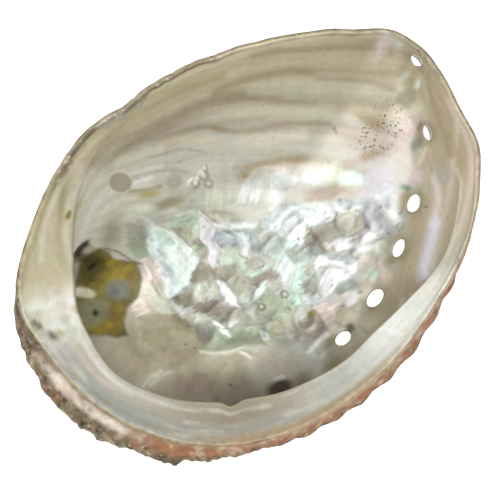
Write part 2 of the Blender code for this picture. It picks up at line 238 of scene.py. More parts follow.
def aboutApex(x, y):
    # distance from the spire's apex, and the angle about it
    apexX, apexY = growth["apex"]
    return np.hypot(x - apexX, y - apexY) + 0.3, np.arctan2(y - apexY, x - apexX)


def lipLogRadius(turn):
    # log of the lip's distance from the apex, far off past the lip's two ends
    angle = np.linspace(0.0, fullTurn, 1441)
    radius = rimRadius(angle)
    distance, seen = aboutApex(radius * np.cos(angle), radius * np.sin(angle))
    order = np.argsort(seen)
    logRadius = np.interp(turn, seen[order], np.log(distance[order]), period=fullTurn)
    far, going, coming, past = growth["beyond"]
    after = (np.degrees(turn) - growth["lipStart"]) % 360.0
    gap = (growth["lipEnd"] - growth["lipStart"]) % 360.0 + past
    return logRadius + far * ramp(after, 0.0, going) * ramp(gap - after, 0.0, coming)


def growthAge(x, y):
    # radians since the lip stood here: the first age at which log distance + rate * age meets the lip
    distance, turn = aboutApex(x, y)
    logDistance = np.log(distance)
    step = growth["oldest"] / growth["steps"]
    age = np.full(np.shape(x), growth["oldest"])
    found = np.zeros(np.shape(x), bool)
    last = logDistance - lipLogRadius(turn)
    age[last >= 0.0] = 0.0
    found |= last >= 0.0
    for k in range(1, growth["steps"] + 1):
        reach = logDistance + growth["rate"] * step * k - lipLogRadius(turn + step * k)
        here = ~found & (reach >= 0.0)
        age[here] = step * (k - 1 + (-last / np.maximum(reach - last, 1e-9))[here])
        found |= here
        last = reach
        if found.all():
            break
    return age


# The inside: growth waves, the muscle scar's hammered facets, the row's groove and the ledge.

ledgeForm = {
    "width": (  # every 15 degrees
        0.0, 0.0, 0.0, 0.0, 0.0, 0.0, 1.6, 4.5, 7.2, 11.2, 15.8, 12.6,
        10.2, 11.0, 12.0, 12.6, 11.4, 10.2, 9.0, 8.9, 6.6, 3.6, 1.2, 0.0,
    ),
    "lift": 1.5,
    "liftWidth": 6.0,
    "notch": (221.5, 3.0, 1.6),
    "setback": (2.6, 4.0),
    "undercut": 0.75,
    "undercutFrom": 3.0,  # width of the ledge at which it is cut under in full
    "plainFrom": 2.0,  # width at which it is free of the wall's relief
    "root": 0.935,
    "edge": 0.955,
    "opens": (136.5, 143.5),  # it comes free of the wall between these angles
    "foot": 0.55,  # before that the wall rises to its edge from this share
}

insideForm = {
    "waves": (5.1, 0.266, 0.51),  # cycles of growth = first * log(1 + age / second) - third
    "waveHeight": 0.12,
    "waveNoise": (0.6, 2.5, 0.2, 0.8),  # steps for each cycle and radian, shift of a wave, change of height
    "waveInScar": 0.2,
    "waveFade": (0.02, 0.16),  # shares before the rim
    "waveFrom": (30.0, 70.0),
    "waveSide": (-25.0, -5.0),
    "groove": (1.3, 4.5, 0.06),
    "rowLine": 4.81,
    "funnel": (0.8, 3.8),
    "spireHollow": (-39.5, 19.5, 9.0, 3.6),
    "pearl": 0.3,  # height of a blister for its radius
    # painted light: how much brighter the wall near the lip and the left wall are painted
    "lipPaintedLight": 0.26,
    "leftPaintedLight": 0.3,
}

holes = (  # x, y, half length, half width, and the way they lie in degrees
    (72.4, 7.9, 2.1, 1.1, 92.0),
    (62.2, -9.7, 2.4, 1.1, 64.0),
    (46.7, -22.3, 2.8, 1.75, 28.0),
    (34.7, -29.3, 2.9, 1.5, 25.0),
    (19.6, -35.5, 3.2, 1.95, 9.0),
    (4.5, -38.0, 2.7, 1.8, -1.0),
)


def ledgeWidth(angle):
    width = np.maximum(around(ledgeForm["width"], angle), 0.0)
    notchAngle, notchHalf, notchDepth = ledgeForm["notch"]
    width = width - notchDepth * bell(degreesFrom(angle, notchAngle), notchHalf)
    setback, setbackWidth = ledgeForm["setback"]
    return width - setback * ramp(width, 0.0, setbackWidth)


def underLedge(s, angle):
    # 0 on the wall and 1 on the ledge; where the ledge isn't free yet it grows from the wall's foot
    free = ramp(np.degrees(angle) % 360.0, *ledgeForm["opens"])
    start = ledgeForm["foot"] + (ledgeForm["root"] - ledgeForm["foot"]) * free
    return ramp(s, start, ledgeForm["edge"]), free


def insidePlan(s, angle):
    # the place in plan, with the ledge standing inwards of the wall, and how far it stands there
    top = np.minimum((1.0 - s) / (1.0 - ledgeForm["edge"]), 1.0)
    reach = underLedge(s, angle)[0] * top
    x, y = plan(s, angle)
    inwards = ledgeWidth(angle) * reach
    return x - inwards * np.cos(angle), y - inwards * np.sin(angle), inwards, reach


def swelling(s, angle):
    start, full, _ = bowlForm["swellShares"]
    return around(bowlForm["swell"], angle) * ramp(s, start, full)


def offRow(distance, turn):
    # distance across the surface from the spiral line of pores
    off = np.log(distance) - growth["rate"] * turn - insideForm["rowLine"]
    return off * distance / math.hypot(1.0, growth["rate"])


def growthCycles(age):
    first, second, third = insideForm["waves"]
    return first * np.log(1.0 + age / second) - third


scar = {
    "outline": (
        (-17.2, 31.5), (-15, 25.8), (-10, 21.8), (-3, 20.1), (-2.3, 14.8), (4.8, 8.5), (10.7, 3.2),
        (21, 2.9), (28.2, -3.6), (35.9, -8.3), (43.5, -16.4), (38.5, -25.8), (28.1, -29.3), (19.8, -33.2),
        (10.1, -34.6), (-0.5, -37.2), (-7, -39.5), (-9.2, -31.4), (-14.4, -24.6), (-20.5, -19.1),
        (-28.7, -14.6), (-27.5, -8.8), (-28.7, -2.4), (-27.6, 5.6), (-26.9, 13.8), (-25, 18.6),
        (-21.8, 24.5),
    ),
    "soft": (-1.0, 4.0),  # it comes up between these distances within the outline
    "wanderEdge": (1.5, 7.0),  # how far its edge wanders, and over what length
    "spacing": 4.0,  # of the hammered hollows
    "grid": (12, 0.87, 0.4),  # rows each way, their distance and the jitter in spacings
    "gridMiddle": (0.0, -7.0),
    "beyond": -4.0,  # hollows are kept up to this distance outside the outline
    "sizes": (1.0, 3.0),
    "bowl": 0.016,  # height of a hollow = this * (distance squared - size squared) + its tilt
    "tilt": 0.035,
    "smooth": 0.06,  # how softly two hollows meet
    "depth": 0.1,
    "wander": (0.5, 2.6),  # how far the planes' edges wander, and over what length
    "streaks": (0.8, 0.4, 3.2),  # the part of a plane's soft edge that is streaky, streak width and length
    "uneven": (0.75, 1.25, 0.9, 3.5, 0.7),  # softness of an edge: whole, even, lumpy, lump size, lean
    "crumple": ((1.2, 9.0), (0.5, 4.6), (0.16, 2.1)),  # height and length of folds; the last only painted
    "crest": 0.05,  # how round the crests of the folds are
    "heights": (0.7, 0.7),  # how much of the folds and of the planes' heights shows
    "leastSoft": (0.3, 0.9),  # the least softness of a plane's edge, painted and in relief
    "level": 0.78,  # brightness of the whole scar
    "contrast": (0.5, 0.45, 1.7),  # a tone * (tone / second) to the power of the first; colourfulness
    "paintedShading": (1.5, 118.0),  # painted light and shade: how much brighter a fold's slope is painted where it faces this way
    "paintedShadingStep": 0.15,
}

# The planes of nacre: tone, strength, softness of the edge, height, the way its fine streaks run in
# degrees, and outline as x and y in turn. Later ones lie over earlier ones. Their tones are partly the
# nacre's own tints and partly painted light: the bright white ones, set higher, are painted reflections
# on facets, and the brown and grey ones, set lower, painted shade.
planes = (
    ("scarGrey", 0.55, 2.6, 0, -22, -11.7, 29.5, 2.4, 22.5, 19.4, 13.1, 36.7, 1.6, 49.4, -11.4,
     44.2, -20.8, 35.5, -27.1, 23.1, -32.1, 6.9, -37.8, -3.5, -37.4, -14.1, -27.8, -25, -15.1, -29.7, 0.1,
     -29.9, 13.6, -25.6, 23.8, -17.8, 28.1),
    ("greyLilac", 0.6, 2.3, 0, 18, 38.2, -8, 49, -13.1, 44.5, -21.2, 35.9, -26.7, 34.3, -22.5,
     32.3, -17.8),
    ("coolWhite", 0.7, 2, 0.05, -42, 9.9, 2.3, 15.2, 3.7, 21.6, -0.1, 30.4, -5.6, 36.4, -8.7, 36.9, -13.4,
     32.3, -12.4, 26.4, -11, 19.6, -10.6, 14.4, -10, 11.6, -4.9),
    ("mintGrey", 0.7, 2, 0, 18, 3.7, -2.8, 10.3, -3.7, 14.4, -10, 14.3, -16.4, 8.1, -22.4, 2.2, -23.6,
     0.3, -19.4, 6.5, -15.1, 5.8, -8.7),
    ("greenGrey", 0.75, 1.4, 0, 8, -7.3, -14.2, -2.6, -14.3, 0.3, -19.4, 0.4, -23.6, -4.7, -24.8,
     -8.3, -20.7, -9.8, -16.9),
    ("greenGrey", 0.7, 1.4, 0, -62, -24.2, -6.4, -20.1, -9.2, -15.5, -15.9, -9.1, -21.6, -9.8, -25.9,
     -16, -23.6, -23.1, -18, -27.3, -12.6),
    ("warmGrey", 0.7, 1.7, -0.05, -42, -36.5, 6.2, -29.4, 1.5, -27.6, -6.6, -26, -12.1, -32.9, -12.5,
     -38.9, -5.5, -41.4, 1.6),
    ("mauveGrey", 0.7, 1.4, 0, -12, -5.5, -24.8, -0.3, -26.3, 5, -30.2, 5.9, -33.6, 1.2, -35.9,
     -4.4, -34.1, -6.6, -30.4),
    ("rosePlane", 0.7, 1.2, 0, -22, 4.2, -26.7, 10.5, -30.3, 13.9, -33.5, 10.1, -35, 5.9, -32.7,
     2.8, -29.9),
    ("rosePlane", 0.5, 1.4, 0, 28, 24.3, -24, 28.9, -25.9, 29.3, -30.4, 26.4, -34.4, 22.7, -33.4,
     21.9, -29.2),
    ("shadowGreen", 0.5, 1.2, -0.1, -82, -22, 29.7, -18.8, 27.4, -18.9, 23.2, -21.5, 21.1, -24.6, 22.2,
     -25.1, 25.8),
    ("smokeGreen", 0.6, 0.9, -0.05, -77, -25.6, 23.8, -21.8, 21.8, -19.9, 16.6, -20.4, 14.6, -23, 17.7,
     -25.4, 20.5),
    ("pinkPlane", 0.8, 1.2, 0.05, -102, -24.8, 18.8, -21.5, 17.1, -21.5, 13.9, -23.7, 11, -28.5, 9.6,
     -30, 12.1, -26.7, 15.3),
    ("pinkPlane", 0.75, 0.9, 0.1, -22, -36.2, 11.5, -32.7, 10.5, -32.3, 6.9, -34.4, 5.9, -37.3, 8.1),
    ("paleGrey", 0.7, 1, 0.05, -82, -30, 11.7, -26.9, 11.5, -27, 5, -28, 1.1, -31.2, 3.1, -31.4, 7.3),
    ("mintPlane", 0.95, 0.6, 0.25, -84, -19.7, 22.7, -15.7, 23.6, -13.4, 22, -11.8, 17.5, -11.2, 11.7,
     -11.5, 6.7, -15.1, 5.9, -18.2, 3.8, -22.1, 3.6, -26.3, 4.8, -25, 9, -22.2, 14.5, -22.2, 18.6),
    ("yellowMint", 0.6, 0.7, 0.05, -84, -15.8, 24.9, -13.6, 21.4, -11.9, 16.4, -11.3, 10.6, -11.5, 7.2,
     -12.6, 10.1, -13.6, 16.3, -15.1, 21.1),
    ("iceWhite", 0.6, 1.2, 0.05, -92, -21.9, 13.5, -20.9, 11.8, -22.6, 7.6, -25.4, 4.9, -25.6, 7),
    ("iceWhite", 0.5, 1.2, 0.05, -84, -17.5, 18.4, -15.4, 14.3, -14.2, 9.2, -16.8, 8.2, -18.4, 12.8,
     -19.5, 17),
    ("steelGrey", 0.45, 0.9, -0.05, -84, -20.7, 14.8, -19.6, 11.5, -20.6, 6.7, -22.7, 6.1, -22.1, 10.5),
    ("capGrey", 0.85, 0.6, 0.1, -12, -13.2, 21.8, -9.5, 21.8, -6.2, 21, -3.3, 19.6, -2.3, 17.6, -3.6, 14.3,
     -8.1, 11, -10.4, 9.8, -10.3, 14.6, -11, 18.4),
    ("tanGrey", 0.75, 1, -0.05, -84, -11.8, 20.2, -8.8, 18.1, -8.2, 15.1, -9.7, 12.4, -11.5, 16),
    ("oliveGrey", 0.6, 0.9, -0.05, -102, -9.7, 11.6, -7.2, 10.2, -9.1, 7.1, -10.9, 7.4),
    ("mintWhite3", 0.9, 0.6, 0.12, -84, -3.1, 16.7, -2.1, 14.6, -1.4, 10.7, -4.3, 9.3, -6.9, 9.6,
     -7.3, 11.9),
    ("darkOliveGrey", 0.6, 1.4, -0.2, -77, -1, 17.2, 0.7, 14.1, 2.9, 10.1, 5.7, 7.7, 5.8, 9.6, 3.1, 14),
    ("coolWhite", 0.8, 0.9, 0.1, -42, -1.1, 12.1, 2.1, 10.1, 6.4, 6.7, 8.8, 3.8, 6.4, 3.8, 2.5, 7.7,
     -0.9, 10.3),
    ("steelGrey", 0.8, 1, -0.12, -74, -3.5, 10.2, -0.4, 9.1, 2.8, 6.2, 5.6, 2.9, 6.3, -1.8, 3.7, -1.9,
     0.4, 2.7, -3.6, 5.5, -5.1, 8.4),
    ("iceBlue", 0.75, 0.9, 0.1, -122, 2.8, 5.4, 4.7, 2.9, 2.3, -0.7, -0.7, -1.3, -0.8, 1.3),
    ("iceWhite", 0.9, 0.7, 0.15, -112, -7.1, 8.9, -4.7, 8.4, -4.7, 5.6, -7.6, 3.3, -10.1, 1.9, -10.1, 4.7),
    ("capGrey", 0.7, 1.2, 0, -82, -5.4, 5.4, -1.4, 3.4, -1.5, -2.2, -1.7, -6.1, -4.4, -4.5, -6.8, 0.1,
     -7.8, 2.6),
    ("brownGrey", 0.6, 0.9, -0.1, -42, -1.5, -2.2, 2.1, -3.7, 2.7, -6.7, 0, -6, -2.2, -4),
    ("paleMint", 0.7, 0.7, 0.1, -22, -2.8, -1, -3.1, -4, -1.2, -6.5, 2.7, -7.6, 0.6, -8.1, -2.9, -7.5,
     -3.9, -4.9),
    ("brownA", 0.9, 1, -0.2, 8, -15.1, 5.9, -12.1, 6.5, -10.7, 3.6, -9.6, 1, -12.2, -0.4, -15.3, 0.7,
     -17.7, 2.5, -17.9, 4.7),
    ("brownB", 0.85, 1, -0.18, 13, -9.2, 1.1, -5.7, -0.1, -3.8, -2.5, -4.5, -6.5, -5.8, -9.8, -8.9, -9.5,
     -10.1, -6.3, -10.5, -2.3),
    ("brownC", 0.9, 0.9, -0.2, -2, -5, -8, -1.6, -7.8, 1.9, -9.4, 3.2, -12.5, -0.3, -11.9, -4, -11),
    ("brownD", 0.85, 0.9, -0.15, 3, -25.4, 4, -21.4, 3, -19, 2, -21.2, -0.5, -24, -0.8, -25.7, 1.9),
    ("brownC", 0.85, 1.2, -0.2, -7, -23.1, -1.6, -19.4, -1.7, -17, -3.5, -15.9, -6.9, -13.8, -10,
     -11.5, -12.9, -14.1, -13.4, -17.8, -11.3, -20.9, -7.3, -22.8, -4),
    ("streakCream", 0.75, 0.9, 0.05, 8, -19.5, 2.4, -15.8, 2, -12.8, -1.1, -14.3, -4.6, -17.8, -3.9,
     -21, -1.1),
    ("iceWhite", 0.5, 0.3, 0.05, 10, -18.5, 1.2, -16, 1.8, -15.9, 0.9, -18.5, 0.3),
    ("iceWhite", 0.45, 0.3, 0.05, 10, -18.6, -2, -15.1, -1.4, -15.3, -2.5, -18.3, -3.1),
    ("iceWhite", 0.95, 0.4, 0.3, -90, -11.7, -0.8, -10.7, -2.5, -10.7, -6.6, -11.2, -10.3, -11.8, -11.8,
     -13.2, -9.7, -13.8, -6.3, -13.3, -3.1),
    ("paleGrey", 0.7, 0.7, 0.1, -2, -10, -8.9, -6.7, -9, -6.4, -10.9, -8.7, -11.7, -10.7, -10.7),
    ("mintPlane", 0.85, 0.5, 0.2, 10, -8.1, -12.3, -5.3, -11, -1.9, -10.4, -0.1, -11.2, -3.3, -12.9,
     -6.7, -13.5, -8.9, -12.7),
    ("iceWhite", 0.6, 0.6, 0.1, -87, -26.6, 3.1, -25.5, 1.7, -25, -2.4, -27, -2.7, -27.4, 0.5),
    ("paleGrey", 0.6, 1.2, 0.05, -42, -26.1, -2.2, -22.8, -4, -21.1, -7.6, -21.4, -9.7, -25.4, -6.9,
     -27.1, -4.2),
    ("iceWhite", 0.85, 0.4, 0.15, -70, -21.4, -9.3, -20, -11, -19.7, -14.2, -20.4, -16.3, -21.2, -13.6,
     -22, -10.8),
    ("iceWhite", 0.7, 0.4, 0.1, -2, -18.8, -13.3, -16.2, -13.1, -15.5, -14.2, -17.9, -14.5),
    ("iceBlue", 0.8, 0.5, 0.12, -82, -12.6, -20.5, -11.3, -22.1, -11.6, -24.7, -13.6, -23.7),
    ("oliveTan", 0.65, 1.2, -0.05, -12, -30.2, 0.5, -27.5, -1, -26.8, -5.7, -28.9, -7.1, -30.8, -3.8),
    ("mauveBrown", 0.7, 1.2, -0.1, -102, -26.3, -7, -23.6, -8.6, -24.7, -12.5, -27.5, -12.8, -28.3, -10.1),
    ("oliveTan", 0.6, 1.2, -0.1, -12, -7.5, -20.6, -4.7, -23.9, -7.2, -26.6, -9.9, -24.2),
    ("brownD", 0.6, 1, -0.1, -22, -13.4, -13.6, -9.4, -16.4, -9.7, -19.5, -13.2, -17.9, -15, -15.4),
    ("iceBlue", 0.8, 0.9, 0.12, -122, 21.3, -1.8, 23.9, -3, 24.7, -6.2, 21.6, -7.4, 17.2, -8.7, 15, -8,
     18.7, -4.8),
    ("coolWhite", 0.8, 0.7, 0.08, -12, 11.2, 1.9, 14.6, 3, 17.4, 2.1, 15.7, -1.3, 11.9, -1.9, 10.3, 0),
    ("iceWhite", 0.6, 0.7, 0.08, -12, 26.1, -4.2, 29.6, -6.5, 28.9, -9.2, 24.6, -9.4, 24.1, -6.4),
    ("brownGrey", 0.85, 1, -0.2, -32, 16.1, -9.4, 20.6, -8.6, 24.2, -9.9, 27.5, -12, 25.7, -14.5,
     22.3, -14.7, 18.9, -13.2, 15.6, -11.4),
    ("dimplePink", 0.85, 0.4, -0.15, -42, 28.5, -11.3, 31, -11.2, 33.2, -12.4, 34.5, -15.3, 33.8, -17.9,
     31.3, -18.9, 28.1, -17.2, 26.5, -14.5, 26.7, -12.5),
    ("greyLilacDark", 0.7, 1.2, -0.05, -42, 34.1, -15.7, 37.1, -17.7, 36.3, -22, 33.4, -21.7, 31.7, -19.3),
    ("oliveGrey", 0.7, 0.9, -0.15, -32, 19.1, -13, 22.1, -14.1, 22, -16.9, 20.8, -18.2, 18.7, -15.1),
    ("glowWhite", 0.6, 0.6, 0.12, -22, 19.7, -13.1, 21.9, -14.3, 21.1, -16.1, 19.4, -15.3),
    ("glowWhite", 0.98, 0.5, 0.5, -32, 22, -16, 24.3, -15.7, 27.1, -17.4, 27.4, -19.8, 25.5, -21,
     22.7, -20, 21.2, -18.6),
    ("creamWhite", 0.85, 0.9, 0.1, -22, 28.4, -19.5, 32.2, -20.1, 33.9, -22.1, 32.4, -25, 29.6, -25.6,
     27, -23.6, 26.8, -21.3),
    ("steelGrey", 0.75, 0.9, -0.12, -62, 16, -11.8, 18.1, -15.8, 20.4, -19.5, 23, -22.8, 21.1, -23.1,
     18.5, -19, 15.5, -14.2),
    ("lilacPlane", 0.85, 1, 0.1, -62, 13.9, -16, 17.5, -16.5, 19.3, -19.8, 21.6, -23.5, 24.1, -25.1,
     21, -26.8, 18.3, -26.3, 18.4, -22.7, 15.9, -20, 12.7, -18.3),
    ("glowWhite", 0.95, 0.5, 0.45, 18, 9.2, -23, 11.9, -21.3, 15.3, -20.7, 17.9, -21.4, 19.3, -24.3,
     19.3, -26.9, 16.1, -26, 13.2, -27, 10.2, -27.2, 8.2, -25.4),
    ("greyLilacDark", 0.5, 0.4, -0.1, 20, 9.5, -23.6, 12.2, -21.9, 15.1, -21.3, 15.6, -22.2, 12, -23.4,
     9.5, -24.9),
    ("brownGrey", 0.8, 0.7, -0.1, 18, 9.2, -17.2, 11.7, -15.7, 13.7, -16.7, 11.8, -18.7, 9.9, -18.6),
    ("brownE", 0.9, 0.7, -0.2, 18, 7.1, -19, 10.2, -19.7, 10.7, -21.8, 8.4, -23.4, 6, -23.8, 5.3, -21),
    ("coolShade", 0.85, 0.9, -0.2, -22, 12.4, -27.5, 15.7, -26.9, 19.1, -27.9, 19.4, -30.2, 16.2, -30.2,
     13.2, -29.1),
    ("iceBlue", 0.9, 0.7, 0.15, 18, 4.4, -10.3, 8.2, -9.7, 9.4, -11.5, 7.8, -14.2, 4, -15.7, 3, -14),
    ("brownGrey", 0.6, 1.2, -0.1, -42, 10.1, -8.5, 13.6, -10, 14.2, -13, 10.7, -13.2, 9.8, -10.7),
    ("paleMint", 0.75, 0.9, 0.08, 38, 5.3, -16.5, 7.5, -17.7, 5.5, -21.7, 1.7, -23.1, 2, -20.1),
    ("iceWhite", 0.6, 0.7, 0.1, -32, 3.8, -21.3, 6.2, -22.7, 5.6, -25.1, 3, -24.4),
    ("steelGrey", 0.7, 0.9, -0.15, -52, 6, -23.8, 7.9, -27.1, 10.9, -28.2, 9.2, -29.1, 5.7, -26.8),
    ("mauvePlane", 0.75, 0.9, 0, -17, 5.3, -27.2, 10, -28.2, 15.4, -30.3, 18.3, -31.4, 15.2, -32.2,
     10.9, -31.6, 7.5, -30.1),
    ("iceWhite", 0.85, 0.4, 0.15, 10, 12.4, -32.1, 15.2, -31.3, 18.1, -31.6, 17.7, -32.9, 14.8, -33.5,
     12.4, -33.4),
    ("pinkishWhite", 0.75, 0.6, 0.1, 8, 19, -31.5, 21.9, -30.9, 24.4, -31.6, 21.9, -32.6, 19, -32.8),
    ("paleMint", 0.7, 0.9, 0.05, 8, 21.9, -29.2, 25.2, -29, 26, -31.5, 23.1, -32.1),
    ("pinkishWhite", 0.8, 0.7, 0.1, -112, 27.9, -29.1, 28.9, -30.1, 26.8, -33.9, 25.2, -33.6),
    ("pinkGlow", 0.7, 1.2, 0.05, -72, 39.1, -18, 41.6, -19.5, 41.2, -22.5, 38.8, -22.7, 37.5, -20.6),
    ("mintWhite3", 0.6, 0.7, 0.05, -42, 40.2, -21.5, 41.4, -22.7, 40.4, -24.7, 39, -23.7),
    ("glowBlue", 0.45, 1.4, 0.1, 48, 19.5, 11.9, 22, 12.4, 24.9, 11.1, 27, 8, 27.4, 5.6, 25.8, 4.7,
     21.8, 7.5, 19, 9.9),
    ("glowBlue", 0.4, 1.4, 0.08, 48, 28, 3.9, 30.6, 5.6, 34.2, 4.3, 37.1, 2.1, 33.8, 0.2, 30, 1.2),
    ("coolWhite", 0.4, 0.7, 0.08, 36, 9, 12.4, 12.5, 14.5, 15.4, 15.1, 15.9, 13.8, 12.4, 12.1, 9.6, 10.7),
    ("lilacPlane", 0.5, 0.9, 0.05, 36, 12.3, 10.6, 16, 13, 19, 12.7, 17.5, 10, 13.3, 9),
    ("mintGlow", 0.8, 1, 0.05, -22, 38.6, -3.5, 40.6, -3.3, 42.2, -5.6, 41.3, -8.4, 38.6, -8, 37.2, -5.5),
    ("paleGrey", 0.7, 1.2, 0.05, 38, 1, 19, 3.9, 20.4, 7.2, 18.7, 8.9, 16, 6.1, 14.6, 2.4, 17),
    ("paleGrey", 0.6, 0.9, 0.05, 33, 34.3, -0.3, 37.9, 2.1, 40.2, 1.6, 39.1, -0.6, 35.6, -2.3),
    ("coolWhite", 0.5, 1.2, 0.05, -2, 40.2, -13.2, 44.3, -13.8, 46.7, -15.4, 45.1, -18, 41.5, -17),
    ("tanBand", 0.8, 1, -0.1, -34, 13, 17.9, 16.5, 19.2, 21.3, 17.3, 26.2, 14.6, 32.1, 10.2, 33.4, 7.4,
     29.5, 9, 24, 13.8, 18.9, 16.3, 14.7, 16.1),
    ("tanBand", 0.8, 1.2, -0.1, -30, 24.6, -0.3, 29.3, -1.4, 34.4, -2.8, 35.8, -4.9, 32, -5.5, 27.3, -3.7),
    ("orangeTan", 0.6, 1.2, 0, -17, 44.2, -2.3, 47.5, -2.1, 50.3, -3.2, 49.6, -5, 46, -4.7),
    ("mauvePlane", 0.5, 1.4, 0, -2, 33.3, -5, 37.4, -4.8, 39.2, -9, 38.1, -11.2, 33.9, -8.9),
)

# Small features inside: x, y, half length, half width, direction in degrees, softness of the edge,
# height, tone and strength of the tone.
marks = {
    "discHalo": (-14.8, 40.2, 3.8, 3.2, -36, 0.15, 0, "pale", 0.8),
    "disc": (-14.8, 40.2, 3.4, 2.8, -36, 0.06, 0.2, "discPale", 0.9),
    "blister": (-1.8, 30.7, 2.5, 2.3, 0, 0.4, 0.45, "smoke", 0.45),
    "bubbles": (5.9, 25.2, 2.3, 1.9, 20, 0.2, 0.35, "grey", 0.5),
    "bubblesSmall": (2.2, 25.8, 1.9, 1.5, 0, 0.2, 0.35, "grey", 0.5),
    "ovalSpot": (59, -22.4, 3, 2.1, 48, 0.35, 0.15, "lilacGrey", 0.8),
    "dimple": (29.7, -13.8, 3.2, 2.9, 0, 0.4, -0.25, "dimplePink", 0.45),
    # The next three marks are painted shade in the bowl.
    "midShadeB": (19.6, -12.3, 4, 2.3, 20, 0.8, 0, "shadeBrown", 0.6),
    "floorShade": (-34, -25, 7.5, 3.2, -38, 0.9, 0, "shadeBrown", 0.4),
    "midShade": (24.4, -12.4, 4.5, 2.4, -20, 0.7, 0, "shadeBrown", 0.55),
    # The next two raised spots are painted white as highlights.
    "lump": (23.9, -18.3, 2.3, 1.8, -40, 0.5, 0.45, "white", 0.7),
    "whiteRidge": (14.1, -23.3, 4.4, 2.6, 18, 0.5, 0.3, "white", 0.5),
    "mauveBump": (12.1, -39.4, 2, 1.9, 0, 0.35, 0.45, "mauve", 0.6),
    "creamBump": (9.9, -35.2, 2.9, 2.5, 0, 0.35, 0.4, "beige", 0.6),
    "ochreSpot": (2.9, -27.6, 1.5, 1, 0, 0.4, 0, "ochre", 0.85),
    "ochreSmear": (-10.2, 32.1, 3, 0.9, -32, 0.6, 0, "oliveYellow", 0.75),
    "oliveValley": (-7.7, 26.2, 5, 1.5, -22, 0.6, -0.2, "oliveBrown", 0.8),
    "mintLine": (-14.8, 30.6, 4, 1.2, -37, 0.7, 0.1, "mintYellow", 0.75),
    # Painted shade: a dark grey green patch beside the spire's curl.
    "curlShade": (-26.4, 30.9, 4.6, 2.8, 30, 0.9, 0, "shadowGreen", 0.75),
    "floorGlint": (-45.3, -10.4, 4.6, 1.8, -22, 0.95, 0.2, "pale", 0.55),
    "darkHollow": (-19.6, -36.6, 3.9, 2, -12, 0.4, -0.6, "hollowDark", 1),
    "oliveShade": (-13.6, -39.2, 3.6, 1.4, 2, 0.8, 0, "hollowDark", 0.5),
    "oliveShadeB": (-3.6, -41.6, 5, 1.6, 10, 0.7, 0, "darkOlive", 0.6),
    "mauveFloor": (-41.1, -18, 6.6, 3, -40, 0.8, 0, "mauveDark", 0.5),
    "rustA": (54.7, 3, 4.4, 1.6, -69, 0.8, 0, "rust", 0.6),
    "rustB": (62.3, -0.6, 3.6, 1.8, -40, 0.8, 0, "pinkStrip", 0.5),
    "rustC": (60.4, -6.3, 3.4, 1.6, -30, 0.8, 0, "rust", 0.6),
    "closedPore": (64.8, 1.6, 2.7, 2.2, 0, 0.5, -0.4, "disc", 0.75),
    "lipPink": (71.2, 18.6, 6, 1.8, 20, 0.9, 0, "pinkWhite", 0.6),
    "lipMint": (73.5, 15, 1.6, 1.2, 0, 0.9, 0, "mintWhite3", 0.6),
    "midCool": (12, 14.9, 4.6, 3.6, -42, 0.9, 0, "coolShade", 0.25),
    "orangeSmear": (54.2, 3.8, 3.4, 0.9, -69, 0.8, 0, "oliveBrown", 0.6),
    "roseArea": (59.7, -4.6, 4, 3.2, 0, 0.8, 0, "pink", 0.6),
    "mintGlint": (68.6, 6.9, 1.4, 0.8, 0, 0.5, 0, "mint", 0.9),
    "whiteGlint": (69.7, 2.6, 1.3, 0.9, 0, 0.5, 0, "white", 0.9),
    # The funnel and edge marks beside the pores are painted shade where the surface dips into them.
    "poreFunnelA": (68.9, 6, 3.4, 1.8, 78, 0.6, 0, "oliveBrown", 0.6),
    "poreFunnelB": (59.3, -9.9, 2.8, 1.5, 30, 0.5, 0, "deepGreen", 0.75),
    "poreEdgeB": (62, -7, 2, 0.6, 30, 0.6, 0, "darkOlive", 0.6),
    "pinkGlow": (52.5, -17.1, 2.4, 2, 0, 0.7, 0, "pink", 0.7),
    "poreTealC": (48.7, -17.8, 1.5, 0.8, -60, 0.5, 0, "teal", 0.85),
    "poreFunnelC": (45.6, -20.3, 3, 1.3, 38, 0.6, 0, "oliveBrown", 0.8),
    "poreHaloC": (42.9, -26.6, 2.6, 1.3, 3, 0.7, 0, "tan", 0.7),
    "poreTealD": (33.3, -26.6, 2.4, 1.7, 30, 0.6, 0, "deepGreen", 0.7),
    "poreHaloD": (31.4, -31, 2.8, 1.3, -2, 0.7, 0, "oliveBrown", 0.7),
    "poreHaloE": (16.8, -36.8, 3.6, 1.6, 20, 0.7, 0, "oliveBrown", 0.6),
    "poreDotE": (17, -36.6, 0.9, 0.6, 0, 0.5, 0, "black", 0.8),
    "porePitF": (7.8, -37.2, 1.6, 1, 0, 0.5, -0.4, "black", 0.85),
    "poreHaloF": (1.2, -37.2, 3.6, 1.2, 20, 0.7, 0, "darkOlive", 0.6),
    "mauveShade": (24.4, -41.5, 1.8, 1.3, 18, 0.6, 0, "mauveDark", 0.75),
    "tealStreak": (-17, 17, 8, 1.2, -95, 0.9, 0, "mint", 0.6),
    "bandGlowA": (25.4, 7, 3, 2, -42, 0.8, 0, "white", 0.25),
    "bandGlowB": (31, 2.8, 2.8, 1.7, -42, 0.8, 0, "white", 0.25),
    "bandGlowC": (39.3, -4.9, 3, 2, -42, 0.6, 0, "mint", 0.85),
    "bandGlowE": (19.1, 6.7, 4, 1.8, 40, 0.9, 0, "white", 0.5),
    "bandGlowF": (44.8, -9.7, 5, 3.4, 0, 0.9, 0, "lilac", 0.5),
    "bandShadeA": (30, -2.4, 5, 1.5, -36, 0.8, -0.1, "brown", 0.75),
    "bandShadeB": (36.5, -8.1, 4.6, 1.6, -20, 0.9, 0, "mauve", 0.6),
}

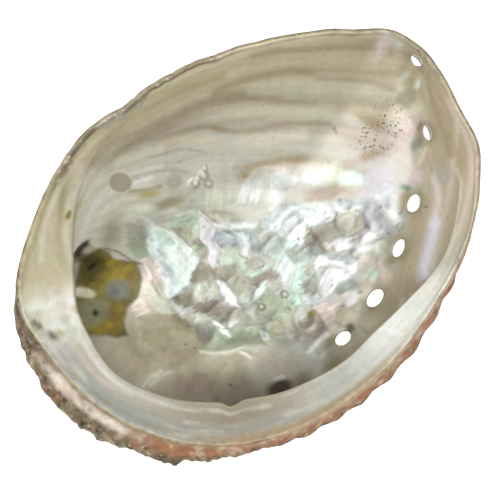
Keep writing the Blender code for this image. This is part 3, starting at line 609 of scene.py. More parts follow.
# Lines inside: tone, strength, half width, height and points.
strokes = {
    "khakiTop": ("khaki", 0.75, 0.9, -0.05, 38, 41, 44.6, 37.6, 50.1, 33.2, 59.6, 25.9, 67.8, 18.3,
     70, 14.6),
    "paleSecond": ("bandPale", 0.6, 1.1, 0.05, 33.1, 40.5, 41.5, 36.6, 53.6, 27.8, 62.2, 19.3, 67.2, 12.7),
    "khakiSecond": ("khaki", 0.75, 1.3, -0.05, 23.5, 40.8, 31.5, 38.3, 37.5, 35.3, 44.7, 30.9, 49.5, 26.2),
    "mauveThird": ("bandBrown", 0.7, 1, -0.05, 25.3, 37.3, 31.1, 32.9, 37.5, 26.4, 42, 22.3, 45.5, 18.9),
    "greyThird": ("bandOlive", 0.65, 0.9, -0.05, 50, 23.8, 54.9, 19.3, 59.5, 14.7, 62.9, 9.8, 64.4, 6.3),
    "paleThird": ("bandGreen", 0.7, 1.2, 0.05, 39.9, 26.5, 47.5, 21.5, 55, 14.5, 60.5, 6.7),
    "paleFourth": ("bandCream", 0.6, 1.6, 0.05, 23.3, 33.9, 31.5, 27.6, 40.1, 19.9, 48.6, 13.1),
    "brownFifth": ("bandBrown", 0.7, 1, -0.05, 17.6, 33.6, 22.9, 27.7, 28.5, 24, 34, 21.1, 39.5, 16.7,
     45.2, 11.7),
    "brownFifthEnd": ("bandBrown", 0.45, 1.3, 0, 49.9, 13.8, 53.6, 8.1, 57.2, 1.7),
    "creamFifth": ("cream", 0.4, 1.8, 0.05, 22.2, 24.9, 29.9, 19, 37.5, 14.3),
    "brownSixth": ("bandBrown", 0.6, 1.2, -0.05, 15.3, 20.6, 19.4, 17.8, 24.6, 14.5, 29.7, 11.1,
     32.9, 7.9),
    "mauveSixth": ("bandBrown", 0.4, 1.3, 0, 41.1, -0.5, 45.9, -3, 51.1, -4.9),
    "brownSeventh": ("bandBrown", 0.6, 1, 0, 26.8, -1.5, 30.9, -3.2, 34.1, -5, 37.9, -6.9),
    "oliveFirst": ("olive", 0.7, 1.2, -0.05, -19.3, 50.3, -11.3, 51.4, -2.6, 51.1, 6, 49.8, 13.3, 48.3,
     21.1, 45.6, 28, 42.7),
    "paleFirst": ("bandPale", 0.6, 0.8, 0.05, -21, 49.3, -13, 50.4, -4.9, 49.9, 2.7, 48.7, 10.4, 46.7),
    "brownThirdLeft": ("bandBrown", 0.8, 1.9, -0.05, -15.5, 45.9, -8.2, 46.1, 0.1, 44.8, 6.7, 43.7,
     15.2, 42.1, 24.1, 38.7, 30, 35.5),
    "mauveFourthLeft": ("mauveGrey", 0.5, 1.2, 0, -3.7, 44, 2.6, 42.2, 9.7, 40.3, 16.4, 37),
    "brownFourthLeft": ("bandBrown", 0.7, 0.8, -0.05, -0.2, 41.7, 4, 41.1, 9.5, 39.1, 15.4, 35.8,
     19.4, 31.1),
    "paleArc": ("bandCream", 0.8, 1.2, 0.1, -11.7, 44.8, -5.4, 43, 0.7, 40.9, 6.2, 38, 11.7, 34.2,
     15.4, 30.1),
    "yellowArc": ("oliveYellow", 0.35, 0.6, 0, -13.9, 44.1, -9.3, 42.2, -3.8, 40.3, 2, 37.8),
    "greyArc": ("smoke", 0.4, 0.5, -0.05, -2.8, 39.6, 1.2, 37.8, 5.7, 35.5, 8.9, 32.8, 11.2, 29.9),
    "lineLeftA": ("bandPale", 0.7, 0.45, 0.05, -45, 42.5, -38, 45.3, -31.4, 48, -26.9, 49.5, -21.4, 50.9,
     -15.4, 52, -10.1, 51.8),
    "lineLeftB": ("bandPale", 0.8, 0.5, 0.05, -41, 34, -36, 38.5, -30.6, 41.3, -26.8, 43.4, -21.3, 45.5,
     -16.4, 46.6, -12.2, 46.9),
    "brownLeft": ("bandBrown", 0.55, 0.8, 0, -42, 38.5, -37, 41.8, -31.8, 44.3, -27.4, 46.6, -22.1, 48.1,
     -17.2, 49.2),
    "paleUnderDisc": ("glowWhite", 0.5, 0.7, 0.05, -26.5, 38.9, -22.2, 40.2, -18, 39.5, -13.9, 37,
     -8.2, 33.4),
    "paleUnderDiscB": ("glowWhite", 0.4, 0.7, 0.05, -26.6, 35.3, -22.5, 37.2, -18.4, 36.5, -14.2, 33.9),
    "paleLow": ("glowWhite", 0.35, 0.7, 0.05, -38, 32.5, -32.2, 36.1, -27.4, 38.9, -22.6, 40.2),
    "sweepLow": ("glowWhite", 0.55, 0.9, 0.05, -32.6, 35.3, -29, 37.9, -25.3, 39.4, -21.5, 40.1,
     -18.5, 39.9),
    "sweepAbove": ("glowWhite", 0.4, 1.3, 0.05, -26.1, 42.9, -21.4, 44.6, -15.8, 45.1, -7.9, 42.9,
     1, 39.3),
    "sweepBeside": ("glowWhite", 0.6, 1.1, 0.05, -10.8, 39.2, -6.6, 37.6, -2.3, 35.6),
    "sweepBrown": ("bandBrown", 0.5, 1.3, 0, -17.9, 48.4, -9.1, 49.5, -0.6, 46.7, 6.7, 45.1),
    "shelfShade": ("oliveBrown", 0.6, 1.4, 0, -6, 58.2, -15, 55.9, -21.5, 53.9, -26.8, 50.9, -31.7, 46.7,
     -36.4, 41.1),
    "rimRose": ("rosePale", 0.75, 1, 0, 77.8, 9.6, 77.7, 3, 75.8, -4.4, 73.9, -11.7, 71.7, -18.4),
    "rimRoseB": ("rosePale", 0.75, 0.8, 0, 65.8, -24.9, 62.8, -28.2, 58, -31.7),
    "brownDisc": ("bandBrown", 0.5, 0.8, 0, -11.4, 38.9, -6.3, 36.6, -0.8, 33.6, 3, 29.7),
    "brownDiscLow": ("oliveBrown", 0.6, 0.7, -0.05, -14.3, 36.5, -9.7, 33.5, -5.9, 31.5),
    "glowSeamB": ("glowWhite", 0.5, 0.9, 0.05, -6.7, 35.1, -10.3, 36.6, -12.7, 37.4),
    "discTail": ("pale", 0.8, 0.35, 0.05, -23.3, 40.7, -18.6, 40.3),
    "discFront": ("white", 0.6, 0.5, 0.05, -12.1, 37.7, -6.5, 35.3),
    "marginOlive": ("khaki", 0.7, 0.9, 0, 73.7, 3.2, 70.7, -1.4, 68.2, -8, 65.9, -14.2, 63.7, -20.3),
    "marginTan": ("tan", 0.7, 1.1, -0.1, 72.8, 0.2, 69.9, -7.8, 66.9, -15.3, 64.2, -23.1),
    "marginPale": ("rosePale", 0.8, 0.8, 0.15, 72.8, -7, 71.1, -12.7, 68.8, -20.2, 65.7, -24.9),
    "marginCream": ("cream", 0.75, 0.45, 0.15, 62.1, -23.7, 58.9, -28.4, 52.5, -33.6, 47, -37.8,
     42.2, -40.7),
    "rimCream": ("rosePale", 0.8, 0.5, 0.15, 65.7, -24.9, 60.2, -30, 54.9, -34.1, 50.4, -36.7,
     45.4, -39.2),
    # A painted reflection: a pink and lilac white streak down the right wall.
    "lilacReflectionTop": ("pinkWhite", 0.8, 1.2, 0.1, 56.5, -21.5, 53.6, -26, 50, -29.2, 46.4, -31.9),
    "lilacReflectionFoot": ("lilacWhite", 0.9, 1.5, 0.1, 47.4, -31.2, 43.4, -34.2, 38, -37.4, 32.4, -40.6),
    "brownFoot": ("mauveDark", 0.8, 1.3, 0, 31.8, -41.4, 28.6, -43.2, 25.6, -44.6),
    "paleFoot": ("glowWhite", 0.8, 0.7, 0, 26.4, -41.2, 22.6, -43),
    "creamFoot": ("cream", 0.7, 0.8, 0, 23.9, -40.5, 19.4, -43),
    "poreStreak": ("cream", 0.9, 0.5, 0.1, 60, -13.2, 55.6, -15.2),
    # The next five lines: painted highlights along the edges of the scar's planes, except the third, a
    # painted shade beside them.
    "capEdge": ("glowWhite", 0.5, 0.25, 0.1, -8, 21.7, -5.6, 20.8, -3.3, 19.6),
    "capFront": ("pinkWhite", 0.6, 0.35, 0.15, -1.9, 18, -1.6, 16.1, -1.2, 13.8, -1, 11.2),
    "capShade": ("oliveBrown", 0.5, 0.45, 0, -0.9, 18.2, -0.6, 16, -0.1, 13.6, 0.2, 11.4),
    "mintTop": ("pinkWhite", 0.4, 0.4, 0.1, -16.8, 29.2, -15.5, 26.1, -14.6, 23.5, -13.8, 21.6),
    "floorLine": ("pinkWhite", 0.7, 0.45, 0.15, -25, 18.6, -25.1, 16.3, -25.6, 14.3, -26.3, 12.6),
    "iceCrack": ("darkOlive", 0.85, 0.16, -0.05, -1.2, 0.4, -0.9, -1.1, -0.2, -2.1),
    "ridgeLineA": ("coolShade", 0.8, 0.22, -0.1, 16.2, -20.2, 13, -20.6, 9.8, -22.3, 9, -23.6),
    "ridgeLineB": ("coolShade", 0.7, 0.22, -0.1, 16.4, -21.7, 13.5, -22.3, 10.5, -23.7, 8.6, -24.9),
    # The next three lines round the dent: painted shade on one edge, a painted highlight on the other, and
    # painted shade at its foot.
    "dimpleRim": ("darkOlive", 0.8, 0.28, -0.1, 29.3, -10, 27.7, -11, 26.5, -12.3, 25.9, -13.9),
    "dimpleGlint": ("glowWhite", 0.9, 0.3, 0.1, 30.6, -10.8, 32.5, -12.2, 33.7, -14.5),
    "dimpleFoot": ("oliveBrown", 0.7, 0.4, 0, 25.7, -15.4, 26.9, -17.7, 29.4, -18.4),
    "oliveLine": ("olive", 0.8, 0.4, -0.1, -26.9, 11.9, -27.4, 9.5, -27.9, 6.7),
    "bandEdge": ("glowWhite", 0.6, 0.4, 0.1, -1.1, 12.1, 2, 8.1, 6.1, 5.3),
    "steelA": ("iceWhite", 0.6, 0.22, 0.05, -1.9, 11.2, -0.4, 8.2, 0.5, 5.5),
    "steelB": ("iceWhite", 0.5, 0.22, 0.05, 1.1, 8.9, 2.4, 5.8, 3.4, 2.4),
    # The next two lines: a painted highlight and the painted shade beside it.
    "lowWhite": ("glowWhite", 0.9, 0.3, 0.1, -21, -9.3, -20.2, -11.6, -19.9, -14.4),
    "lowDark": ("brownE", 0.8, 0.25, -0.05, -21.6, -10.8, -20.4, -13.1, -19, -14.3),
    "lowMintB": ("paleMint", 0.35, 0.6, 0.1, -29.8, -13.6, -26.9, -16.7, -23.5, -19.3, -20, -20.8),
    "glintLowA": ("glowWhite", 0.8, 0.5, 0.15, -48.8, -9.4, -46.7, -9.2, -44.9, -10.1, -43.4, -9.9),
    "glintLowB": ("glowWhite", 0.7, 0.45, 0.12, -47.6, -10.8, -45.3, -11.3, -43.5, -11.3, -41.4, -12.3),
    "glintFloor": ("glowWhite", 0.5, 0.7, 0.15, -5.9, -35.2, -3.5, -34.9, -1, -34.7, 2.3, -34.8),
    "glintFloorB": ("glowWhite", 0.35, 0.5, 0.1, -4.4, -38.2, -0.9, -38.1, 2.5, -37.9),
    # a painted highlight
    "lowLine": ("glowWhite", 0.45, 0.5, 0.1, -21, -21.9, -20.1, -23.6, -20, -24.9),
    "crack": ("darkOlive", 0.8, 0.25, -0.1, -30.9, 28.3, -28.7, 24.9, -27.5, 20.8, -25.8, 17.7),
}


blisters = (  # x, y and radius of the small round pearls grown onto the nacre
    (-8.4, 11.7, 0.75), (19.3, -8.6, 0.93), (26.3, -8.5, 0.87), (-7, -16.1, 1.1), (0.8, -17.8, 1.1),
    (-1.8, -22, 0.75), (39.7, -25.3, 0.87), (6.2, 25.4, 1.22), (5.8, 22.7, 1.16), (2.8, 25.3, 1.04),
    (7.9, 27, 0.87), (3, 33.4, 0.46), (20.3, -7.5, 0.64), (11.7, -19.8, 0.64),
)

specks = (  # the same for small dark dots
    (15.4, -8, 0.35), (24.5, -24.2, 0.38), (11.4, -19.6, 0.35), (17.9, -32.2, 0.52), (13.4, -25.5, 0.32),
    (4.8, -26, 0.32), (11.4, -32, 0.32), (6.2, -18.6, 0.29), (35.9, -24.6, 0.29), (32.6, -7.7, 0.38),
    (33, -18.8, 0.41), (-30.5, -27.2, 0.46), (-32.2, -9, 0.29), (-31, -11.7, 0.29), (45.5, 9.8, 0.46),
    (45.2, 8.5, 0.35), (48.5, 1.4, 0.35), (45.6, 2.9, 0.29), (1.6, -7, 0.29), (27.1, -7.5, 0.29),
    (26.5, -4.6, 0.26), (40.1, -17.3, 0.29), (42.4, -22.4, 0.35),
)


def hammerMarks():
    # middles of the hollows, jittered off a hexagonal grid, with a size and a tilt each
    draw = np.random.default_rng(21)
    count, rowStep, jitter = scar["grid"]
    steps = np.arange(-count, count + 1)
    gridX, gridY = np.meshgrid(steps, steps)
    middles = np.stack([gridX + 0.5 * (gridY % 2), gridY * rowStep], -1).reshape(-1, 2) * scar["spacing"]
    middles = middles + draw.uniform(-jitter, jitter, middles.shape) * scar["spacing"] + scar["gridMiddle"]
    middles = middles[withinOutline(*middles.T, scar["outline"]) > scar["beyond"]]
    sizes = draw.uniform(*scar["sizes"], len(middles))
    return middles, sizes, draw.normal(0.0, scar["tilt"], middles.shape)


hollowPlace, hollowSize, hollowTilt = hammerMarks()


def hammered(x, y):
    # height of the lowest hollow at each point, with a soft ridge between two of them
    away = np.stack([x, y], -1)[..., None, :] - hollowPlace
    height = scar["bowl"] * ((away**2).sum(-1) - hollowSize**2) + (away * hollowTilt).sum(-1)
    weight = np.exp((height.min(-1, keepdims=True) - height) / scar["smooth"])
    return (height * weight).sum(-1) / weight.sum(-1)


def crumpled(x, y, sizes=2):
    # folds with sharp crests: minus the size of slow lumps
    folds = scar["crumple"][:sizes]
    place = spot(x, y)
    return -sum(high * np.hypot(lumps(place + 10.0 * long, long), scar["crest"]) for high, long in folds)


def paintedShadingOf(x, y):
    # painted light and shade: how far the folds face the painted light's side, and the side left of it,
    # from small steps
    strength, degrees = scar["paintedShading"]
    step = scar["paintedShadingStep"]
    slopeX = (crumpled(x + step, y, 3) - crumpled(x - step, y, 3)) / (2.0 * step)
    slopeY = (crumpled(x, y + step, 3) - crumpled(x, y - step, 3)) / (2.0 * step)
    c, d = math.cos(math.radians(degrees)), math.sin(math.radians(degrees))
    return strength * (slopeX * c + slopeY * d), strength * (slopeY * c - slopeX * d)


def wandered(x, y):
    # the place in plan moved a little by lumps, so that no painted edge is straight
    far, length = scar["wander"]
    place = spot(x, y)
    return x + far * manyLumps(place, length), y + far * manyLumps(place + 50.0, length)


def planeAt(plane, x, y, least=scar["leastSoft"][0]):
    # the points near a plane, its share there with a soft and streaky edge, its streaks, and the
    # distances across and along them
    soft, turn, outline = plane[2], math.radians(plane[4]), smoothLoop(plane[5:])
    lowX, lowY = np.min(outline, 0) - 2.0 * soft
    highX, highY = np.max(outline, 0) + 2.0 * soft
    at = np.flatnonzero((x > lowX) & (x < highX) & (y > lowY) & (y < highY))
    x, y = x[at], y[at]
    along, across = x * math.cos(turn) + y * math.sin(turn), y * math.cos(turn) - x * math.sin(turn)
    part, width, length = scar["streaks"]
    streak = manyLumps(spot(across / width, along / length))
    span = np.array(outline) @ (math.cos(turn), math.sin(turn))
    lean = 2.0 * (along - span.min()) / (span.max() - span.min()) - 1.0
    whole, even, lumpy, size, leaning = scar["uneven"]
    uneven = whole * soft * (even + lumpy * lumps(spot(x, y, turn), size) + leaning * lean)
    uneven = np.maximum(uneven, least)
    share = ramp(withinOutline(x, y, outline) + part * soft * streak, -uneven, uneven)
    return at, share, streak, across, along


def markShare(mark, x, y):
    # 1 on a small feature and 0 off it, by distance in half lengths and half widths
    markX, markY, halfLength, halfWidth, degrees, soft = mark[:6]
    turn = math.radians(degrees)
    along = (x - markX) * math.cos(turn) + (y - markY) * math.sin(turn)
    across = (y - markY) * math.cos(turn) - (x - markX) * math.sin(turn)
    return 1.0 - ramp(np.hypot(along / halfLength, across / halfWidth), 1.0 - soft, 1.0 + soft)


def scarShare(x, y):
    far, length = scar["wanderEdge"]
    wander = far * manyLumps(spot(x, y), length)
    return ramp(withinOutline(x, y, scar["outline"]) + wander, *scar["soft"])


def insideRelief(x, y, s, age):
    distance, turn = aboutApex(x, y)
    spread = ramp(distance, *insideForm["waveFrom"]) * ramp(y, *insideForm["waveSide"])
    share = scarShare(x, y)
    cycles = growthCycles(age)
    stepsAcross, stepsAlong, shift, change = insideForm["waveNoise"]
    uneven = lumps(spot(stepsAcross * cycles, stepsAlong * (turn + age)), 1.0)
    wave = insideForm["waveHeight"] * np.cos(fullTurn * (cycles + shift * uneven)) * spread
    wave = wave * (1.0 - (1.0 - insideForm["waveInScar"]) * share)
    relief = -wave * (1.0 + change * uneven) * ramp(1.0 - s, *insideForm["waveFade"])
    folds, heights = scar["heights"]
    at = share > 0.0
    relief[at] += (hammered(x[at], y[at]) + folds * crumpled(x[at], y[at]) - scar["depth"]) * share[at]
    raised = np.zeros(x.size)
    wanderedX, wanderedY = wandered(x.ravel(), y.ravel())
    for plane in planes:
        near, planeShare, *_ = planeAt(plane, wanderedX, wanderedY, scar["leastSoft"][1])
        raised[near] += heights * plane[3] * planeShare
    relief = relief + raised.reshape(x.shape)
    for mark in [*marks.values(), *cavity["marks"].values()]:
        if mark[6]:
            relief = relief + mark[6] * markShare(mark, x, y)
    for placeX, placeY, radius in blisters:
        away = np.hypot(x - placeX, y - placeY) / radius
        relief = relief + insideForm["pearl"] * radius * np.sqrt(np.clip(1.0 - away**2, 0.0, 1.0))
    for _, _, halfWidth, height, *line in strokes.values():
        relief = relief + height * bell(lineDistance(x, y, smoothLine(line)), halfWidth)
    depth, halfWidth, fade = insideForm["groove"]
    relief = relief - depth * bell(offRow(distance, turn), halfWidth) * ramp(1.0 - s, 0.0, fade)
    depth, halfWidth = insideForm["funnel"]
    for holeX, holeY, *_ in holes:
        relief = relief - depth * bell(np.hypot(x - holeX, y - holeY), halfWidth)
    hollowX, hollowY, radius, depth = insideForm["spireHollow"]
    return relief - depth * bell(np.hypot(x - hollowX, y - hollowY), radius)


def insideSurface(s, angle):
    root, edge = ledgeForm["root"], ledgeForm["edge"]
    width = ledgeWidth(angle)
    under, free = underLedge(s, angle)
    x, y, inwards, reach = insidePlan(s, angle)
    cutUnder = ledgeForm["undercut"] * ramp(width, 0.0, ledgeForm["undercutFrom"])
    push = cutUnder * swelling(s, angle) * (1.0 - ramp(s, root, edge)) - inwards
    onLedge = under * free * ramp(width, 0.0, ledgeForm["plainFrom"])
    relief = insideRelief(x, y, s, growthAge(x, y)) * (1.0 - onLedge)
    points = bowl(s, angle) + outward(angle) * push[..., None] + intoBowl(s, angle) * relief[..., None]
    points[..., 2] += ledgeForm["lift"] * np.minimum(width / ledgeForm["liftWidth"], 1.0) * reach
    return points


# The outside: cords, growth ridges, knobs, the row's raised pores and the spire.

outsideForm = {
    "cordsPerTurn": 31,
    "cordHeight": 0.18,
    "cordNoise": (25.0, 9.0, 0.6, 0.8),  # noise height for each share, size, least height, added height
    "wave": (0.11, 0.5),
    "reliefFrom": (25.0, 55.0),
    "reliefPole": (0.12, 0.32),
    "knobs": (1.7, 200.0, 50.0, -0.2),  # height, angle, half width, depth of the hollows between them
    "knobSizes": ((1.0, 7.0, 4.2, 3), (1.1, 17.0, 2.2, 2)),  # height, which noise, size, times
    "knobShares": (0.6, 0.9, 0.965, 0.992),
    "lipRelief": (0.5, 0.97),
    "ridge": (1.2, 5.0, 0.04),
    "ridgeFrom": (24.0, 34.0),
    "closedPores": (-64.0, -75.0, -88.0, -103.0, -120.0, -140.0),
    "poreKnob": (2.4, 4.4, 80.0),
    "suture": (21.6, 0.32, 1.7, 2.4),
    "whorl": (2.2, 12.0, 16.0, 26.0),
    "cone": (2.6, 15.0),
}


def spireRelief(distance, turn):
    # convex whorls with a sunk suture between them, on a low cone
    sutureRadius, rate, depth, halfWidth = outsideForm["suture"]
    turnsOut = np.log(distance / sutureRadius) / (fullTurn * rate)
    place = turnsOut - (turn - math.radians(growth["lipStart"])) / fullTurn
    fromSuture = (place - np.round(place)) * fullTurn * rate * distance
    height, fullDistance, fadeFrom, fadeTo = outsideForm["whorl"]
    whorl = height * np.sin(np.pi * (place % 1.0)) * np.minimum(distance / fullDistance, 1.0)
    near = 1.0 - ramp(distance, fadeFrom, fadeTo)
    coneHeight, coneWidth = outsideForm["cone"]
    return near * (whorl - depth * bell(fromSuture, halfWidth)) + coneHeight * bell(distance, coneWidth)


def outsideRelief(x, y, s, angle, age, skin):
    distance, turn = aboutApex(x, y)
    cord = np.cos(outsideForm["cordsPerTurn"] * (np.log(distance) / growth["rate"] - turn))
    spacing, waveHeight = outsideForm["wave"]
    wave = np.cos(fullTurn * age / spacing)
    clear = ramp(distance, *outsideForm["reliefFrom"]) * ramp(s, *outsideForm["reliefPole"])
    steps, size, least, more = outsideForm["cordNoise"]
    cord = cord * (least + more * manyLumps(spot(x, y, steps * s), size))
    height, side, halfSide, hollow = outsideForm["knobs"]
    upFrom, up, downFrom, down = outsideForm["knobShares"]
    rough = bell(degreesFrom(angle, side), halfSide) * ramp(s, upFrom, up)
    relief = (outsideForm["cordHeight"] * cord + waveHeight * wave) * clear * (1.0 - rough)
    rough = rough * (1.0 - ramp(s, downFrom, down))
    for high, other, size, times in outsideForm["knobSizes"]:
        relief = relief + rough * height * high * np.maximum(manyLumps(skin + other, size, times), hollow)
    height, halfWidth, fade = outsideForm["ridge"]
    row = bell(offRow(distance, turn), halfWidth) * ramp(distance, *outsideForm["ridgeFrom"])
    relief = relief + height * row * ramp(1.0 - s, 0.0, fade)
    height, halfWidth, fullDistance = outsideForm["poreKnob"]
    pores = [(holeX, holeY, 1.0) for holeX, holeY, *_ in holes]
    apexX, apexY = growth["apex"]
    for poreTurn in np.radians(outsideForm["closedPores"]):
        far = math.exp(insideForm["rowLine"] + growth["rate"] * poreTurn)
        poreX, poreY = apexX + far * math.cos(poreTurn), apexY + far * math.sin(poreTurn)
        pores.append((poreX, poreY, far / fullDistance))
    for poreX, poreY, size in pores:
        relief = relief + height * size * bell(np.hypot(x - poreX, y - poreY), halfWidth * size)
    return relief + spireRelief(distance, turn)


def outsideSurface(s, angle):
    extra, side, halfSide, fullFrom = bowlForm["spireExtra"]
    thickness = bowlForm["wallThickness"]
    thickness = thickness + extra * bell(degreesFrom(angle, side), halfSide) * ramp(s, 0.0, fullFrom)
    thickness = thickness + (bowlForm["lipThickness"] - thickness) * ramp(s, bowlForm["lipThinsFrom"], 1.0)
    x, y = plan(s, angle)
    ends = bowlForm["swellShares"][2]
    push = swelling(s, angle) * ramp(1.0 - s, 0.0, 1.0 - ends)
    skin = bowl(s, angle) + outward(angle) * push[..., None]
    left, lipFrom = outsideForm["lipRelief"]
    relief = outsideRelief(x, y, s, angle, growthAge(x, y), skin)
    thickness = thickness + relief * (1.0 - left * ramp(s, lipFrom, 1.0))
    points = skin - intoBowl(s, angle) * thickness[..., None]
    points[..., 2] = np.maximum(points[..., 2], 0.0)
    return points


# The mesh: rings of points from the pole inside, over the lip, to the pole outside.

meshForm = {
    "columns": 512,
    "insideRows": (56, 8, 17),  # from the middle share to the ledge's root, its underside, its top
    "outsideRows": 52,
    # rows towards the two poles: from, to, how many, and how much coarser
    "insideCentre": ((0.5, 0.2, 36, 1), (0.2, 0.1, 16, 2), (0.1, 0.04, 10, 4), (0.04, 0.015, 4, 8)),
    "outsideCentre": ((0.5, 0.25, 10, 2), (0.25, 0.12, 6, 4), (0.12, 0.03, 4, 8)),
    "fineFrom": 0.5,
    "denser": 0.36,  # rows inside are closer towards the rim, where the wall is steep
    "denserOutside": 0.75,
    "lipRows": 3,
    "crest": 0.25,
    "poreBlock": (3, 4),  # half of the cells that a pore takes, in rows and columns
    "poreSpread": 4.0,
    "poreSteps": 3,
}


def rowsBetween(start, end, count, denser=0.0):
    # shares from start towards end: v * (1 + denser - denser * v), without the first
    v = (np.arange(1, count + 1) / count)[:, None]
    return start + (end - start) * v * (1.0 + denser - denser * v)


def insideShares(angle):
    # shares of the fine rows inside: even along the lip, and gathered at the ledge along the margin
    wall, under, top = meshForm["insideRows"]
    fine, denser = meshForm["fineFrom"], meshForm["denser"]
    first = np.full((1, len(angle)), fine)
    root, edge = np.full_like(first, ledgeForm["root"]), ledgeForm["edge"]
    plainRows = rowsBetween(first, 1.0, wall + under + top, denser)
    ledgeRows = [rowsBetween(first, root, wall, denser), rowsBetween(root, edge, under)]
    ledgeRows.append(rowsBetween(np.full_like(first, edge), 1.0, top))
    has = ramp(ledgeWidth(angle), 0.0, 3.0)
    return np.concatenate([first, plainRows * (1.0 - has) + np.concatenate(ledgeRows) * has])


def outsideShares():
    first = np.array([[meshForm["fineFrom"]]])
    rows = rowsBetween(first, 1.0, meshForm["outsideRows"], meshForm["denserOutside"])
    return np.concatenate([first, rows])


def fitPores(surface, shares, angles, wider):
    # moves the share and angle of the points near each pore so that a block of cells has its oval as edge
    halfRows, halfColumns = meshForm["poreBlock"]
    points = surface(shares, angles)
    rows, columns = shares.shape
    sunk = bowlForm["wallThickness"] / 2.0 + insideForm["groove"][0]
    planX, planY = plan(shares, angles)
    blocks = []
    for x, y, halfLength, halfWidth, degrees in holes:
        away = np.hypot(planX - x, planY - y)
        nearest = np.unravel_index(away.argmin(), away.shape)
        x, y = (x, y) - sunk * intoBowl(shares[nearest], angles[nearest])[:2]
        away = np.hypot(points[..., 0] - x, points[..., 1] - y)
        row, column = np.unravel_index(away.argmin(), away.shape)
        near = np.arange(-14, 15)
        down = np.clip(row + near, 1, rows - 2)[:, None]
        across = (column + near)[None, :] % columns
        byRow = (points[row + 1, column] - points[row - 1, column])[:2] / 2.0
        byColumn = (points[row, (column + 1) % columns] - points[row, (column - 1) % columns])[:2] / 2.0
        grid = np.stack([byRow, byColumn], -1)  # plan millimetres for each cell
        turn = math.radians(degrees)
        along = np.array([math.cos(turn), math.sin(turn)])
        sides = wider * np.stack([along * halfLength, np.array([-along[1], along[0]]) * halfWidth], -1)
        place = points[down, across][..., :2] - (x, y)
        place = place @ np.linalg.inv(sides).T  # in half lengths and half widths
        size = np.maximum(np.linalg.norm(place, axis=-1), 1e-6)
        cells = np.maximum(np.abs(near[:, None]) / halfRows, np.abs(near[None, :]) / halfColumns)
        pull = 1.0 - ramp(cells, 1.0, meshForm["poreSpread"])
        wanted = size + (np.maximum(cells, 0.2) - size) * pull
        target = place * (wanted / size)[..., None] @ sides.T + (x, y)
        rowStep = (shares[row + 1, column] - shares[row - 1, column]) / 2.0
        for _ in range(meshForm["poreSteps"]):
            now = surface(shares[down, across], angles[down, across])[..., :2]
            move = (target - now) @ np.linalg.inv(grid).T
            shares[down, across] += move[..., 0] * rowStep
            angles[down, across] += move[..., 1] * fullTurn / columns
        blocks.append((row, column))
    return blocks


def ringFaces(low, high):
    # quads between two rings of as many points, facing up where the second ring lies farther out
    nextLow, nextHigh = np.roll(low, -1, -1), np.roll(high, -1, -1)
    return np.stack([low, high, nextHigh, nextLow], -1)


def halvedFaces(few, many):
    # three triangles for each point of the ring that has half as many
    nextFew, first, middle, last = np.roll(few, -1), many[0::2], many[1::2], np.roll(many, -2)[0::2]
    return np.concatenate([
        np.stack([few, first, middle], -1),
        np.stack([few, middle, nextFew], -1),
        np.stack([nextFew, middle, last], -1),
    ])


def fanFaces(pole, ring):
    return np.stack([np.full_like(ring, pole), ring, np.roll(ring, -1)], -1)


def blockEdge(block, halfRows, halfColumns, columns, index):
    # the indices round the edge of a block of cells, in order
    row, column = block
    r = np.arange(-halfRows, halfRows)
    c = np.arange(-halfColumns, halfColumns)
    down = np.concatenate([np.full(len(c), -halfRows), r, np.full(len(c), halfRows), -r])
    across = np.concatenate([c, np.full(len(r), halfColumns), -c, np.full(len(r), -halfColumns)])
    return index[row + down, (column + across) % columns]


def pathLength(grid):
    # distance along each column from the last row
    steps = np.linalg.norm(np.diff(grid, axis=0), axis=-1)
    return np.concatenate([np.cumsum(steps[::-1], axis=0)[::-1], np.zeros_like(grid[:1, :, 0])])


